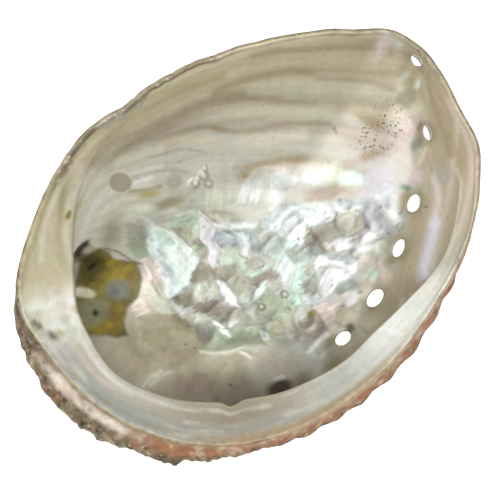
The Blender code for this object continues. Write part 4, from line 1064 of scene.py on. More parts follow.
def buildShell():
    columns = meshForm["columns"]
    halfRows, halfColumns = meshForm["poreBlock"]
    points, quads, triangles, facts = [], [], [], []
    count = 0

    def add(place, s, angle, side, rim=60.0):
        nonlocal count
        index = np.arange(count, count + np.size(s)).reshape(np.shape(s))
        points.append(place.reshape(-1, 3))
        values = [np.broadcast_to(v, np.shape(s)).ravel() for v in (s, angle, side, rim)]
        facts.append(np.stack(values, -1))
        count += np.size(s)
        return index

    # the fine part inside and outside, with room for the pores
    angle = np.arange(columns) * fullTurn / columns
    insideS = insideShares(angle)
    insideA = np.broadcast_to(angle, insideS.shape).copy()
    insideBlocks = fitPores(insideSurface, insideS, insideA, 1.0)
    place = insideSurface(insideS, insideA)
    inside = add(place, insideS, insideA, 0.0, pathLength(place))
    outsideS = np.broadcast_to(outsideShares(), (meshForm["outsideRows"] + 1, columns)).copy()
    outsideA = np.broadcast_to(angle, outsideS.shape).copy()
    outsideBlocks = fitPores(outsideSurface, outsideS, outsideA, 1.2)
    place = outsideSurface(outsideS, outsideA)
    outside = add(place, outsideS, outsideA, 1.0, pathLength(place))

    for index, blocks, step in ((inside, insideBlocks, 1), (outside, outsideBlocks, -1)):
        faces = ringFaces(index[:-1], index[1:])
        keep = np.ones(faces.shape[:2], bool)
        for row, column in blocks:
            across = np.arange(column - halfColumns, column + halfColumns) % columns
            keep[np.arange(row - halfRows, row + halfRows)[:, None], across[None, :]] = False
        quads.append(faces[keep][:, ::step])

    # the lip: a half round from the inside's last ring to the outside's
    place = np.concatenate(points)
    inner, outer = place[inside[-1]], place[outside[-1]]
    last = inside[-1]
    for k in range(1, meshForm["lipRows"] + 1):
        t = k / (meshForm["lipRows"] + 1)
        ring = (inner + outer) / 2.0 + (inner - outer) / 2.0 * math.cos(np.pi * t)
        ring[:, 2] += meshForm["crest"] * bowlForm["lipThickness"] * math.sin(np.pi * t)
        ring = add(ring, np.ones(columns), angle, t, 0.0)
        quads.append(ringFaces(last, ring))
        last = ring
    quads.append(ringFaces(last, outside[-1]))

    # the walls of the pores
    for blockIn, blockOut, hole in zip(insideBlocks, outsideBlocks, holes):
        top = blockEdge(blockIn, halfRows, halfColumns, columns, inside)
        low = blockEdge(blockOut, halfRows, halfColumns, columns, outside)
        start, end = place[top], place[low]
        last = top
        for t in (0.15, 0.4, 0.7):
            ring = start + (end - start) * t
            ring = add(ring, np.full(len(top), 0.8), math.atan2(hole[1], hole[0]), 0.5)
            quads.append(ringFaces(last, ring))
            last = ring
        quads.append(ringFaces(last, low))

    # the middle, inside and outside, coarser towards the two poles
    for surface, edge, side, step, blocks in (
        (insideSurface, inside[0], 0.0, 1, meshForm["insideCentre"]),
        (outsideSurface, outside[0], 1.0, -1, meshForm["outsideCentre"]),
    ):
        for start, end, rows, coarser in blocks:
            few = columns // coarser
            s = start + (end - start) * np.arange(rows, 0, -1) / rows
            s, turn = np.meshgrid(s, np.arange(few) * fullTurn / few, indexing="ij")
            index = add(surface(s, turn), s, turn, side)
            quads.append(ringFaces(index[:-1], index[1:]).reshape(-1, 4)[:, ::step])
            if len(edge) == few:
                quads.append(ringFaces(index[-1], edge)[:, ::step])
            else:
                triangles.append(halvedFaces(index[-1], edge)[:, ::step])
            edge = index[0]
        pole = add(surface(np.zeros((1, 1)), np.zeros((1, 1))), np.zeros(1), 0.0, side)
        triangles.append(fanFaces(pole[0], edge)[:, ::step])

    quads = np.concatenate([q.reshape(-1, 4) for q in quads])
    return np.concatenate(points), quads, np.concatenate(triangles), np.concatenate(facts)


def makeMesh(name, points, quads, triangles):
    mesh = bpy.data.meshes.new(name)
    corners = np.concatenate([quads.ravel(), triangles.ravel()])
    sizes = np.concatenate([np.full(len(quads), 4), np.full(len(triangles), 3)])
    mesh.vertices.add(len(points))
    mesh.vertices.foreach_set("co", (points * mm).astype(np.float32).ravel())
    mesh.loops.add(len(corners))
    mesh.loops.foreach_set("vertex_index", corners.astype(np.int32))
    mesh.polygons.add(len(sizes))
    mesh.polygons.foreach_set("loop_start", (np.cumsum(sizes) - sizes).astype(np.int32))
    mesh.update(calc_edges=True)
    mesh.validate()
    mesh.shade_smooth()
    return mesh


def fitBox(points):
    # stretches the points by less than a hundredth so that they stay inside the solid's box
    low, high = points.min(0), points.max(0)
    boxLow, boxHigh = (np.array(corner) / mm for corner in solidBox)
    boxLow, boxHigh = boxLow + (0.02, 0.02, 0.0), boxHigh - 0.02
    return boxLow + (points - low) * (boxHigh - boxLow) / (high - low)


# The colours, worked out for each point of the mesh.

palette = {  # red, green and blue from 0 to 255
    "beige": (198, 189, 161), "pale": (219, 214, 196), "khaki": (164, 151, 116), "mauve": (182, 166, 148),
    "greyGreen": (200, 199, 184), "mint": (214, 240, 224), "white": (236, 242, 242),
    "lilac": (220, 217, 230), "pink": (226, 208, 206), "brown": (163, 149, 136), "grey": (184, 184, 176),
    "olive": (166, 156, 116), "oliveBrown": (142, 131, 96), "oliveYellow": (170, 156, 78),
    "ochre": (122, 103, 8), "darkOlive": (92, 82, 34), "smoke": (140, 146, 134), "black": (24, 20, 12),
    "teal": (84, 130, 112), "deepGreen": (112, 128, 112), "cream": (229, 221, 192), "tan": (186, 166, 136),
    "disc": (152, 142, 123), "discPale": (170, 160, 140), "lilacGrey": (180, 171, 162),
    "mintYellow": (222, 231, 202), "rust": (150, 116, 70), "hollowDark": (56, 44, 20),
    "rosePale": (224, 206, 188), "pinkWhite": (230, 216, 216), "lilacWhite": (228, 225, 240),
    "mauveDark": (150, 128, 120), "marginBeige": (187, 173, 147), "floorBeige": (194, 184, 152),
    "shade": (140, 128, 100), "bandPale": (192, 180, 150), "bandBrown": (160, 145, 120),
    "bandOlive": (158, 150, 124), "bandGreen": (188, 188, 166), "bandCream": (204, 198, 172),
    "floorMauve": (140, 132, 116), "floorPale": (204, 200, 180), "ledgeBeige": (206, 199, 172),
    "ledgeWhite": (248, 251, 245), "ledgeTan": (150, 138, 114), "ledgeTanEdge": (182, 158, 124),
    "blueGrey": (176, 178, 170), "lavender": (196, 188, 174), "mintWhite": (196, 197, 186),
    "shadeBrown": (104, 94, 80), "scarGrey": (190, 193, 185), "greyLilac": (201, 200, 204),
    "coolWhite": (214, 222, 224), "mintGrey": (188, 203, 196), "greenGrey": (158, 165, 144),
    "warmGrey": (166, 161, 143), "mauveGrey": (166, 158, 150), "rosePlane": (194, 184, 174),
    "shadowGreen": (138, 142, 120), "smokeGreen": (164, 175, 155), "pinkPlane": (220, 212, 204),
    "paleGrey": (196, 199, 186), "mintPlane": (214, 234, 218), "yellowMint": (218, 238, 210),
    "iceWhite": (232, 246, 242), "steelGrey": (168, 177, 180), "capGrey": (193, 203, 190),
    "tanGrey": (170, 167, 148), "oliveGrey": (158, 160, 140), "mintWhite3": (222, 238, 230),
    "darkOliveGrey": (156, 156, 136), "iceBlue": (220, 240, 244), "brownGrey": (166, 164, 152),
    "paleMint": (200, 218, 206), "brownA": (156, 150, 136), "brownB": (162, 159, 145),
    "brownC": (150, 142, 128), "brownD": (148, 145, 128), "brownE": (140, 134, 124),
    "streakCream": (194, 198, 186), "oliveTan": (150, 143, 118), "mauveBrown": (150, 145, 138),
    "dimplePink": (190, 187, 174), "greyLilacDark": (182, 182, 187), "glowWhite": (240, 240, 234),
    "creamWhite": (236, 234, 229), "lilacPlane": (234, 232, 243), "coolShade": (156, 161, 157),
    "mauvePlane": (212, 205, 201), "pinkishWhite": (222, 206, 199), "pinkGlow": (233, 222, 235),
    "glowBlue": (218, 227, 231), "mintGlow": (213, 229, 220), "tanBand": (168, 158, 138),
    "orangeTan": (172, 155, 136), "crust": (116, 98, 74), "crustGreen": (116, 114, 82),
    "crustRose": (154, 108, 80), "crustDark": (60, 50, 36), "crustPale": (178, 164, 140),
    "rose": (206, 188, 174), "orangeBand": (150, 98, 58), "rimOlive": (124, 110, 80),
    "rimDark": (98, 84, 62), "ledgeMottle": (222, 222, 206), "shelfCream": (176, 166, 130),
    "discSmoke": (118, 124, 112), "pitSmoke": (84, 90, 84), "pinkStrip": (248, 238, 214),
    "deepOlive": (74, 70, 34), "smokeOlive": (140, 141, 114), "gold": (172, 154, 14),
}

washes = {  # large soft areas inside, written like the marks
    "floor": (-36.0, -10.0, 24.0, 17.0, -20, 0.5, 0.0, "floorBeige", 0.85),
    "leftWall": (-26.0, 38.0, 20.0, 11.0, 20, 0.7, 0.0, "pale", 0.3),
    "innerBands": (10.0, 22.0, 22.0, 9.0, -45, 0.6, 0.0, "greyGreen", 0.45),
    "midBand": (21.0, 10.5, 17.0, 5.5, -42, 0.8, 0.0, "mauveGrey", 0.45),
    "pinkish": (50.0, -8.0, 10.0, 8.0, 0, 0.8, 0.0, "pink", 0.35),
}

shelfLines = (  # on the shelf beside the spire: strength, tone and points
    (0.75, "oliveBrown", -6, 58.2, -15, 55.9, -21.5, 53.9, -26.8, 50.9, -31.7, 46.7, -36.4, 41.1),
    (0.4, "ledgeMottle", -48.4, 37.4, -43.8, 41.8, -38.3, 45.4, -32.1, 48.4, -25.3, 50.9, -18.6, 52.8,
     -12.4, 53.5),
    (0.55, "olive", -49.5, 38.4, -45.1, 42.9, -39.2, 47, -32.6, 50.5, -25.8, 52.9, -19.1, 54.8, -13, 55.6),
    (0.55, "olive", -44.8, 31.1, -41.1, 37.4, -36.1, 42.7, -30.3, 46.5, -23.9, 49.3, -16.5, 51.7),
    (0.4, "ledgeMottle", -41.6, 31.3, -38.6, 37.2, -34.6, 42.1, -29.3, 45.5, -23.1, 48.2, -13.6, 51.4),
)

ledgeMarks = {  # small features on the ledge, written like the marks
    "ochreDot": (-33.7, 41.8, 1.5, 0.7, 28, 0.3, 0.0, "ochre", 0.9),
    "greenSpot": (-60.5, 18.8, 1.9, 1.0, 100, 0.7, 0.0, "deepOlive", 0.8),
    "yellowSpot": (-58.2, 17.9, 1.5, 0.8, 100, 0.7, 0.0, "oliveYellow", 0.6),
    "rimDent": (-61.7, 24.1, 2.2, 0.9, 100, 0.5, 0.0, "rimDark", 0.8),
}

cavity = {  # the stained hollow of the spire
    "outline": (
        (-39.4, 29.9), (-33.8, 32.1), (-31.1, 28.5), (-30.7, 25.0), (-28.5, 21.6), (-26.4, 19.4),
        (-28.6, 14.6), (-33.6, 10.8), (-37.6, 10.4), (-41.8, 7.6), (-43.5, 4.3), (-47.3, 6.8),
        (-49.8, 10.2), (-52.0, 14.0), (-50.1, 17.9), (-47.0, 22.3), (-44.2, 25.8),
    ),
    "marks": {
        "discA": (-37.4, 26.0, 4.6, 3.2, 10, 0.5, -0.3, "deepOlive", 0.75),
        "pitA": (-37.2, 25.9, 1.7, 0.8, -5, 0.5, -0.5, "black", 0.9),
        "discB": (-36.1, 16.6, 3.2, 3.0, 0, 0.4, -0.1, "discSmoke", 0.9),
        "discDark": (-36.6, 16.4, 1.2, 1.1, 0, 0.7, -0.1, "pitSmoke", 0.7),
        "discC": (-45.6, 16.4, 4.8, 4.0, 0, 0.35, -0.3, "smokeOlive", 0.9),
        "pitC": (-45.0, 15.8, 1.0, 0.8, 0, 0.6, -0.6, "black", 0.9),
        "strip": (-44.0, 22.2, 3.8, 1.4, -48, 0.35, 0.1, "pinkStrip", 0.95),
        # Painted shadow: black in the gap under the ledge.
        "slitShadow": (-36.4, 31.5, 3.3, 0.9, 16, 0.35, -0.6, "black", 1.0),
        "slitEdge": (-34.2, 30.2, 2.6, 0.9, 5, 0.5, 0.0, "pinkStrip", 0.5),
    },
}


def tone(name):
    # linear values of a palette colour
    c = np.array(palette[name]) / 255.0
    return np.where(c < 0.04045, c / 12.92, ((c + 0.055) / 1.055) ** 2.4)


def blend(base, over, amount):
    # base under this amount of another colour, each given by its values or its name
    base, over = (tone(colour) if isinstance(colour, str) else colour for colour in (base, over))
    return base + (over - base) * np.clip(amount, 0.0, 1.0)[..., None]


def between(value, start, full, fade, end):
    # 0 to 1 from start to full, and back to 0 from fade to end
    return ramp(value, start, full) * ramp(value, end, fade)


def hump(angle, degrees, halfWidth):
    return bell(degreesFrom(angle, degrees), halfWidth)


def paintMarks(tint, x, y, table):
    for mark in table.values():
        tint = blend(tint, mark[7], mark[8] * markShare(mark, x, y))
    return tint


def paintInside(s, angle, rim):
    x, y, *_ = insidePlan(s, angle)
    age = growthAge(x, y)
    distance, turn = aboutApex(x, y)
    lip = turn + age
    cycles = growthCycles(age)

    # growth bands, khaki near the lip and mauve farther in
    wander = manyLumps(spot(0.5 * cycles, 3.0 * lip))
    comes = ramp(manyLumps(spot(0.8 * cycles, 1.6 * lip, 4.0)), -0.5, 0.5)
    dark = (0.5 + 0.5 * np.cos(fullTurn * (cycles + 0.35 * wander))) ** 1.5 * (0.15 + 0.6 * comes)
    dark = dark + 0.5 * ramp(manyLumps(spot(2.3 * cycles, 0.8 * lip, 6.0)), 0.0, 0.8)
    inner = ramp(cycles, 0.5, 3.5)[..., None]
    light = tone("beige") * (1.0 - inner) + tone("greyGreen") * inner
    deep = tone("khaki") * (1.0 - inner) + tone("mauve") * inner
    tint = blend(light, deep, 0.85 * dark)
    hue = manyLumps(spot(1.3 * cycles, 1.2 * lip, 9.0))
    tint = blend(tint, "mauve", 0.55 * ramp(hue, 0.0, 0.6))
    tint = blend(tint, "olive", 0.4 * ramp(-hue, 0.1, 0.6))
    tint = tint * (1.0 + 0.1 * manyLumps(spot(6.0 * cycles, 1.5 * lip)))[..., None]

    # the strip beyond the row of pores, with lines along it
    off = offRow(distance, turn)
    lines = manyLumps(spot(0.45 * off, 2.5 * turn, 30.0))
    strip = blend("marginBeige", "pale", 0.7 * ramp(lines, 0.0, 0.7))
    strip = blend(strip, "khaki", 0.5 * ramp(-lines, 0.1, 0.7))
    tint = blend(tint, strip, 0.9 * ramp(off, 0.5, 4.0))
    tint = paintMarks(tint, x, y, washes)
    degrees = np.degrees(angle) % 360.0
    # painted light: the wall within about 15 mm of the lip is painted brighter, mostly between 15 and 110
    # degrees, and so is the left wall round (-24, 36)
    lipLightShare = ramp(rim, 15.0, 3.0) * ramp(degrees, 15.0, 40.0) * (1.0 - 0.85 * ramp(degrees, 92.0, 112.0))
    tint = tint * (1.0 + insideForm["lipPaintedLight"] * lipLightShare)[..., None]
    leftLight = bell(np.hypot((x + 24.0) / 16.0, (y - 36.0) / 14.0), 1.0)
    tint = tint * (1.0 + insideForm["leftPaintedLight"] * leftLight)[..., None]

    # painted shade under the ledge, and a brown painted shade with dark olive mottles in it at the bottom;
    # mauve and pale mottles on the low floor
    has = ramp(ledgeWidth(angle), 0.0, 2.5) * underLedge(s, angle)[1]
    haze = manyLumps(spot(x, y, 15.0), 9.0, 4)
    lowFloor = 1.0 - ramp(np.hypot((x + 33.0) / 27.0, (y + 16.0) / 27.0), 0.6, 1.2)
    tint = blend(tint, "floorMauve", 0.65 * lowFloor * ramp(haze, -0.05, 0.5))
    tint = blend(tint, "floorPale", 0.6 * lowFloor * ramp(-haze, 0.05, 0.5))
    tint = blend(tint, "shade", 0.45 * has * ramp(s, 0.62, 0.9))
    brown = ramp(s, 0.45, 0.8) * hump(angle, 232.0, 26.0)
    tint = blend(tint, "shadeBrown", 0.9 * brown)
    tint = blend(tint, "darkOlive", 0.5 * brown * ramp(haze, 0.1, 0.5))

    # the scar, cloudy grey with the planes over it: their bright tones painted reflections and their dark
    # ones painted shade over the nacre's own tints
    share = scarShare(x, y)
    wanderedX, wanderedY = wandered(x, y)
    place = spot(wanderedX, wanderedY)
    cloud = manyLumps(place, 8.0)
    clouds = blend("scarGrey", "mintGrey", ramp(cloud, 0.0, 0.5))
    clouds = blend(clouds, "mauveGrey", 0.7 * ramp(-cloud, 0.1, 0.5))
    clouds = clouds * (1.0 + 0.24 * manyLumps(place + 30.0, 2.6))[..., None]
    tint = blend(tint, clouds, 0.85 * share)
    grain = place * 0.3
    for plane in planes:
        at, planeShare, streak, across, along = planeAt(plane, wanderedX, wanderedY)
        mottle = manyLumps(np.stack([across, 0.5 * along, np.zeros_like(along)], -1), 1.8)
        power, middle, colourful = scar["contrast"]
        own = tone(plane[0])
        own = own.mean() + colourful * (own - own.mean())
        own = np.minimum(own * (own.mean() / middle) ** power, 0.92)
        colour = own * (1.0 + 0.2 * streak + 0.16 * mottle)[:, None]
        tint[at] = blend(tint[at], colour, plane[1] * planeShare)
        own = planeShare > 0.5
        grain[at[own]] = np.stack([across[own] * 1.6, along[own] * 0.25, np.zeros(own.sum())], -1)
    # painted light and shade: folds that face one side are painted brighter, and the others darker and
    # warmer
    deep = ramp(withinOutline(x, y, scar["outline"]), -11.0, 3.0)
    tint = tint * (1.0 + (scar["level"] - 1.0) * deep)[..., None]
    near = np.maximum(share, 0.2 * lowFloor)
    lit = np.flatnonzero(near > 0.0)
    paintedFacing, paintedAside = paintedShadingOf(x[lit], y[lit])
    paintedFacing, paintedAside = np.clip(paintedFacing, -0.45, 0.45), np.clip(paintedAside, -0.5, 0.5)
    change = paintedFacing[:, None] * (0.92, 1.0, 1.06) + paintedAside[:, None] * (0.05, -0.05, 0.04)
    tint[lit] *= 1.0 + near[lit, None] * change

    for name, strength, halfWidth, _, *line in strokes.values():
        tint = blend(tint, name, strength * bell(lineDistance(x, y, smoothLine(line)), halfWidth))

    # the ochre stain in the spire's hollow
    patches = manyLumps(spot(x, y, 3.0), 6.0)
    ochre = blend("ochre", "gold", ramp(patches, 0.0, 0.5))
    ochre = blend(ochre, "deepOlive", 0.8 * ramp(-patches, 0.0, 0.5))
    wander = 0.6 * manyLumps(spot(x, y, 8.0), 3.0)
    stain = ramp(withinOutline(x, y, cavity["outline"]) + wander, -0.4, 1.0)
    stain = stain * (s < ledgeForm["edge"] - 0.004)
    tint = blend(tint, ochre, 0.95 * stain)
    tint = blend(tint, "deepOlive", 0.7 * stain * ramp(-withinOutline(x, y, cavity["outline"]), -1.2, -0.2))
    tint = paintMarks(tint, x, y, marks)
    tint = np.where((s < ledgeForm["edge"] - 0.004)[:, None], paintMarks(tint, x, y, cavity["marks"]), tint)
    # each blister gets a dark ring of painted shade round its foot and a painted highlight a little off its
    # middle
    for placeX, placeY, radius in blisters:
        away = np.hypot(x - placeX, y - placeY) / radius
        tint = blend(tint, "oliveBrown", 0.7 * bell(away - 1.0, 0.25))
        tint = blend(tint, "white", 0.3 * bell(np.hypot(x - placeX - 0.2, y - placeY - 0.3) / radius, 0.5))
    for placeX, placeY, radius in specks:
        tint = blend(tint, "black", 0.9 * bell(np.hypot(x - placeX, y - placeY), radius))

    # brownish green round the pores, partly their own colour and partly painted shade where the surface
    # dips into them
    for holeX, holeY, halfLength, *_ in holes:
        near = bell(np.hypot(x - holeX, y - holeY) - halfLength, 1.6)
        tint = blend(tint, "oliveBrown", 0.45 * near)

    # the shelf beside the spire, before it is free
    shelf = ramp(s, 0.93, 0.955) * between(degrees, 108.0, 128.0, 150.0, 160.0)
    tint = blend(tint, "shelfCream", 0.7 * shelf)
    for strength, colour, *line in shelfLines:
        tint = blend(tint, colour, strength * shelf * bell(lineDistance(x, y, smoothLine(line)), 0.9))

    # the ledge: beige and mottled white at the spire, then lavender and blue-grey, then nearly white
    across = np.clip((1.0 - s) / (1.0 - ledgeForm["edge"]), 0.0, 1.0)
    along = 0.12 * degrees
    streak = manyLumps(spot(9.0 * across, along))
    mottle = manyLumps(spot(x, y, 60.0), 2.6, 4)
    ledge = "ledgeBeige"
    ledge = blend(ledge, "ledgeMottle", ramp(degrees, 144.0, 152.0) * ramp(mottle, -0.45, 0.15))
    spots = ramp(lumps(spot(x, y, 70.0), 1.3) + mottle, -0.3, 0.6)
    ledge = blend(ledge, "ledgeWhite", 0.45 * hump(angle, 161.0, 9.0) * spots)
    ledge = ledge * (1.0 - 0.12 * hump(angle, 158.0, 12.0))[..., None]
    ledge = blend(ledge, "lavender", ramp(degrees, 162.0, 174.0))
    outer = 1.0 - ramp(across, 0.38, 0.55)
    ledge = blend(ledge, "blueGrey", ramp(degrees, 160.0, 172.0) * outer)
    ledge = blend(ledge, "ledgeTan", 0.8 * hump(angle, 222.0, 24.0) * (1.0 - 0.5 * outer))
    ledge = blend(ledge, "mintWhite", ramp(degrees, 238.0, 262.0))
    ledge = blend(ledge, "ledgeWhite", ramp(degrees, 262.0, 292.0))
    ledge = ledge * (1.0 + 0.10 * streak + 0.10 * mottle * ramp(degrees, 230.0, 260.0))[..., None]
    ledge = blend(ledge, "pale", 0.5 * ramp(streak, 0.1, 0.6))
    ledge = blend(ledge, "oliveBrown", 0.5 * bell(across - 0.16, 0.05) * hump(angle, 188.0, 22.0))
    # painted highlights: a white line along the ledge's crest near its inner edge, and a cream one on the
    # inner edge itself
    ledge = blend(ledge, "ledgeWhite", 0.5 * bell(across - 0.8, 0.07) * hump(angle, 182.0, 20.0))
    ledge = blend(ledge, "cream", 0.7 * ramp(across, 0.93, 0.99) * ramp(degrees, 150.0, 170.0))
    tanEdge = ramp(degrees, 205.0, 225.0) * (1.0 - ramp(across, 0.10 + 0.08 * mottle, 0.24 + 0.08 * mottle))
    ledge = blend(ledge, "ledgeTanEdge", 0.8 * tanEdge * (1.0 - 0.6 * ramp(degrees, 265.0, 295.0)))
    onTop = has * ramp(s, ledgeForm["edge"] - 0.006, ledgeForm["edge"]) * ramp(degrees, 146.0, 156.0)
    tint = blend(tint, ledge, onTop)

    # the lip's edge: dark with painted highlights for glints at the left, plain cream or tan elsewhere
    edgeNoise = manyLumps(spot(0.9 * degrees, rim), 4.0)
    ragged = ramp(edgeNoise, -0.4, 0.5)
    wider = bell(degrees - 96.0, 14.0)
    lipEdge = 1.0 - ramp(rim, (0.5 + 0.9 * ragged) * (1.0 + wider), (1.1 + 1.3 * ragged) * (1.0 + wider))
    edgeTone = blend("rimDark", "rimOlive", ramp(edgeNoise, -0.3, 0.3))
    glints = manyLumps(spot(0.9 * degrees, rim, 5.0), 1.1)
    edgeTone = blend(edgeTone, "lilacGrey", 0.9 * wider * ramp(edgeNoise, -0.6, 0.1))
    edgeTone = blend(edgeTone, "pale", 0.75 * ramp(glints, 0.2, 0.5))
    rough = between(degrees, 45.0, 66.0, 116.0, 130.0)
    tint = blend(tint, edgeTone, 0.8 * lipEdge * rough)
    tint = blend(tint, "rimOlive", 0.5 * lipEdge * ramp(degrees, 60.0, 20.0) * ragged)
    # a thin band of painted shade just under the ledge's edge, past about 150 degrees
    foldShade = ramp(s, 0.93, 0.94) * ramp(s, 0.952, 0.945)
    tint = blend(tint, "shade", 0.7 * has * ramp(degrees, 150.0, 165.0) * foldShade)
    tint = np.where((s > ledgeForm["edge"] - 0.01)[:, None], paintMarks(tint, x, y, ledgeMarks), tint)
    along = (onTop > 0.5)[:, None]
    flow = np.where(along, spot(0.6 * across, angle), spot(cycles, lip))
    return tint, flow, grain


def paintOutside(s, angle, rim):
    x, y = plan(s, angle)
    age = growthAge(x, y)
    _, turn = aboutApex(x, y)
    place = outsideSurface(s, angle)
    rough = manyLumps(place, 7.0)
    fine = manyLumps(place + 40.0, 2.2)
    bands = np.stack([14.0 * age, 1.5 * (turn + age), np.zeros_like(age)], -1)
    tint = blend("crust", "crustGreen", 0.8 * ramp(rough + manyLumps(bands, 1.0), 0.0, 0.6))
    redder = manyLumps(bands + 20.0, 1.0) + 0.5 * manyLumps(place + 90.0, 9.0)
    tint = blend(tint, "crustRose", 0.6 * ramp(redder, 0.05, 0.6))
    tint = tint * (1.0 + 0.35 * manyLumps(4.0 * bands, 1.0))[..., None]
    tint = blend(tint, "crustPale", 0.6 * ramp(fine, 0.15, 0.7))
    tint = blend(tint, "crustDark", 0.7 * ramp(-fine, 0.25, 0.8))
    tint = blend(tint, "crustDark", 0.8 * ramp(-manyLumps(place + 120.0, 3.6), 0.2, 0.5))
    layers = manyLumps(np.stack([0.2 * np.degrees(angle), 0.8 * rim, place[:, 2] / 6.0], -1), 1.0)
    tint = blend(tint, "crustPale", 0.5 * ramp(layers, 0.1, 0.5))
    tint = blend(tint, "crustDark", 0.5 * ramp(-layers, 0.15, 0.5))
    rings = np.cos(fullTurn * age / outsideForm["wave"][0])
    tint = blend(tint, "crustPale", 0.2 * ramp(rings, 0.3, 1.0) * (1.0 - hump(angle, 205.0, 60.0)))
    degrees = np.degrees(angle) % 360.0
    edge = rim + 1.2 * rough
    rose = between(degrees, 162.0, 172.0, 192.0, 204.0)
    orange = between(degrees, 192.0, 204.0, 325.0, 350.0)
    rosy = blend("rose", "pale", 0.7 * ramp(fine, -0.2, 0.3))
    rosy = blend(rosy, "crustRose", 0.7 * ramp(-fine, 0.1, 0.4))
    tint = blend(tint, rosy, 0.85 * rose * ramp(edge, 6.2, 4.4))
    band = blend("orangeBand", "tan", 0.8 * ramp(fine, -0.1, 0.5))
    tint = blend(tint, band, 0.9 * orange * ramp(edge, 9.0, 5.0))
    thinSide = between(degrees, 50.0, 75.0, 120.0, 150.0)
    tint = blend(tint, "lilacGrey", 0.6 * bell(rim, 2.5) * thinSide * ramp(fine, -0.6, 0.2))
    rimLine = between(degrees, 160.0, 170.0, 200.0, 230.0)
    tint = blend(tint, "rimOlive", 0.9 * bell(rim - 0.6, 1.3) * rimLine)
    tint = blend(tint, "ledgeTanEdge", 0.7 * bell(rim, 2.0) * ramp(degrees, 225.0, 260.0))
    return tint, np.stack([growthCycles(age), turn + age, np.zeros_like(x)], -1), place * 0.3


def paintShell(facts):
    s, angle, side, rim = facts.T
    tint = np.empty((len(s), 3))
    flow, grain = np.zeros((len(s), 3)), np.zeros((len(s), 3))
    inside, outside = side < 0.5, side > 0.5
    tint[inside], flow[inside], grain[inside] = paintInside(s[inside], angle[inside], rim[inside])
    tint[outside], flow[outside], grain[outside] = paintOutside(s[outside], angle[outside], rim[outside])
    tint[side == 0.5] = tone("oliveBrown")
    tint[(side == 0.5) & (rim == 0.0)] = tone("khaki")
    degrees = np.degrees(angle) % 360.0
    band = between(degrees, 160.0, 172.0, 330.0, 350.0)
    crust = outside * (1.0 - 0.4 * band * ramp(rim, 7.0, 4.5))
    crust = np.maximum(crust, 0.6 * ramp(rim, 1.2, 0.3))
    x, y, *_ = insidePlan(s, angle)
    below = (side == 0.0) & (s < ledgeForm["edge"] - 0.004)
    crust = np.maximum(crust, 0.45 * below * ramp(withinOutline(x, y, cavity["outline"]), -0.4, 1.0))
    speckles = (side == 0.0) * (1.0 - ramp(np.hypot((x - 55.5) / 10.0, (y - 0.5) / 7.5), 0.4, 1.2))
    grainShare = np.where(side == 0.0, scarShare(x, y), 0.0)
    return tint, flow, grain, np.stack([crust, speckles, grainShare], -1)


def fitAttribute(mesh, name, kind, values):
    attribute = mesh.attributes.new(name, kind, "POINT")
    if kind == "FLOAT_COLOR":
        values = np.concatenate([values, np.ones((len(values), 1))], -1)
        attribute.data.foreach_set("color", values.astype(np.float32).ravel())
    else:
        attribute.data.foreach_set("vector", values.astype(np.float32).ravel())


points, quads, triangles, facts = buildShell()
print("box in mm before the fit:", points.min(0).round(2), points.max(0).round(2))
points = fitBox(points)
shellMesh = makeMesh("abaloneShell", points, quads, triangles)
shell = bpy.data.objects.new("abaloneShell", shellMesh)
bpy.context.scene.collection.objects.link(shell)
print("shell mesh:", len(points), "points,", 2 * len(quads) + len(triangles), "triangles")
tint, flow, grain, kinds = paintShell(facts)
for name, values in (("tint", tint), ("kinds", kinds)):
    fitAttribute(shellMesh, name, "FLOAT_COLOR", values)
for name, values in (("flow", flow), ("grain", grain)):
    fitAttribute(shellMesh, name, "FLOAT_VECTOR", values)
print("shell painted")


# The material: the painted colours with finer lines, mottles and specks, glossy inside and dull outside.

nacre = {
    "metallic": 0.2,
    "roughness": (0.32, 0.85, 0.2),  # nacre, crust, and how much it varies
    "coat": 0.2,
    "coatRoughness": 0.12,
    "flowLines": (7.0, 2.0, 5.0, 0.22),  # noise across and along the growth lines, detail, strength
    "crossLines": (0.9, 26.0, 2.0, 0.1),
    # noise in each metre, detail and strength
    "grainLines": (3.6, 5.0, 0.72),
    "mottle": (560.0, 5.0, 0.26),
    "crustLumps": (380.0, 6.0, 1.6),
    "hues": (110.0, 3.0, (0.1, -0.08, 0.05)),  # strength in red, green and blue
    # noise in each metre, detail, and the noise where they start and are full
    "crustPits": (560.0, 4.0, 0.44, 0.33),
    "crustFlecks": (700.0, 6.0, 0.6, 0.72),
    "specks": (1150.0, 2.0, 0.56, 0.61),
    "clusters": (260.0, 2.0, 0.4, 0.52),
    "pitStrength": 0.65,
    "pitCrust": (0.5, 0.9),  # share of crust where they start and are full
    "fleckStrength": 0.45,
    "fleckCrust": (0.72, 0.95),
    "fleckStretch": (-1.0, 1.0, 1.6),
    "fleckTone": (0.62, 0.56, 0.46, 1.0),
    "speckTone": (0.16, 0.09, 0.05, 1.0),
    "bump": (0.6, 0.00015),  # strength, metres
    "bumpParts": (0.35, 9.0, -2.5, 0.4),  # lines, crust lumps, pits, mottle
}


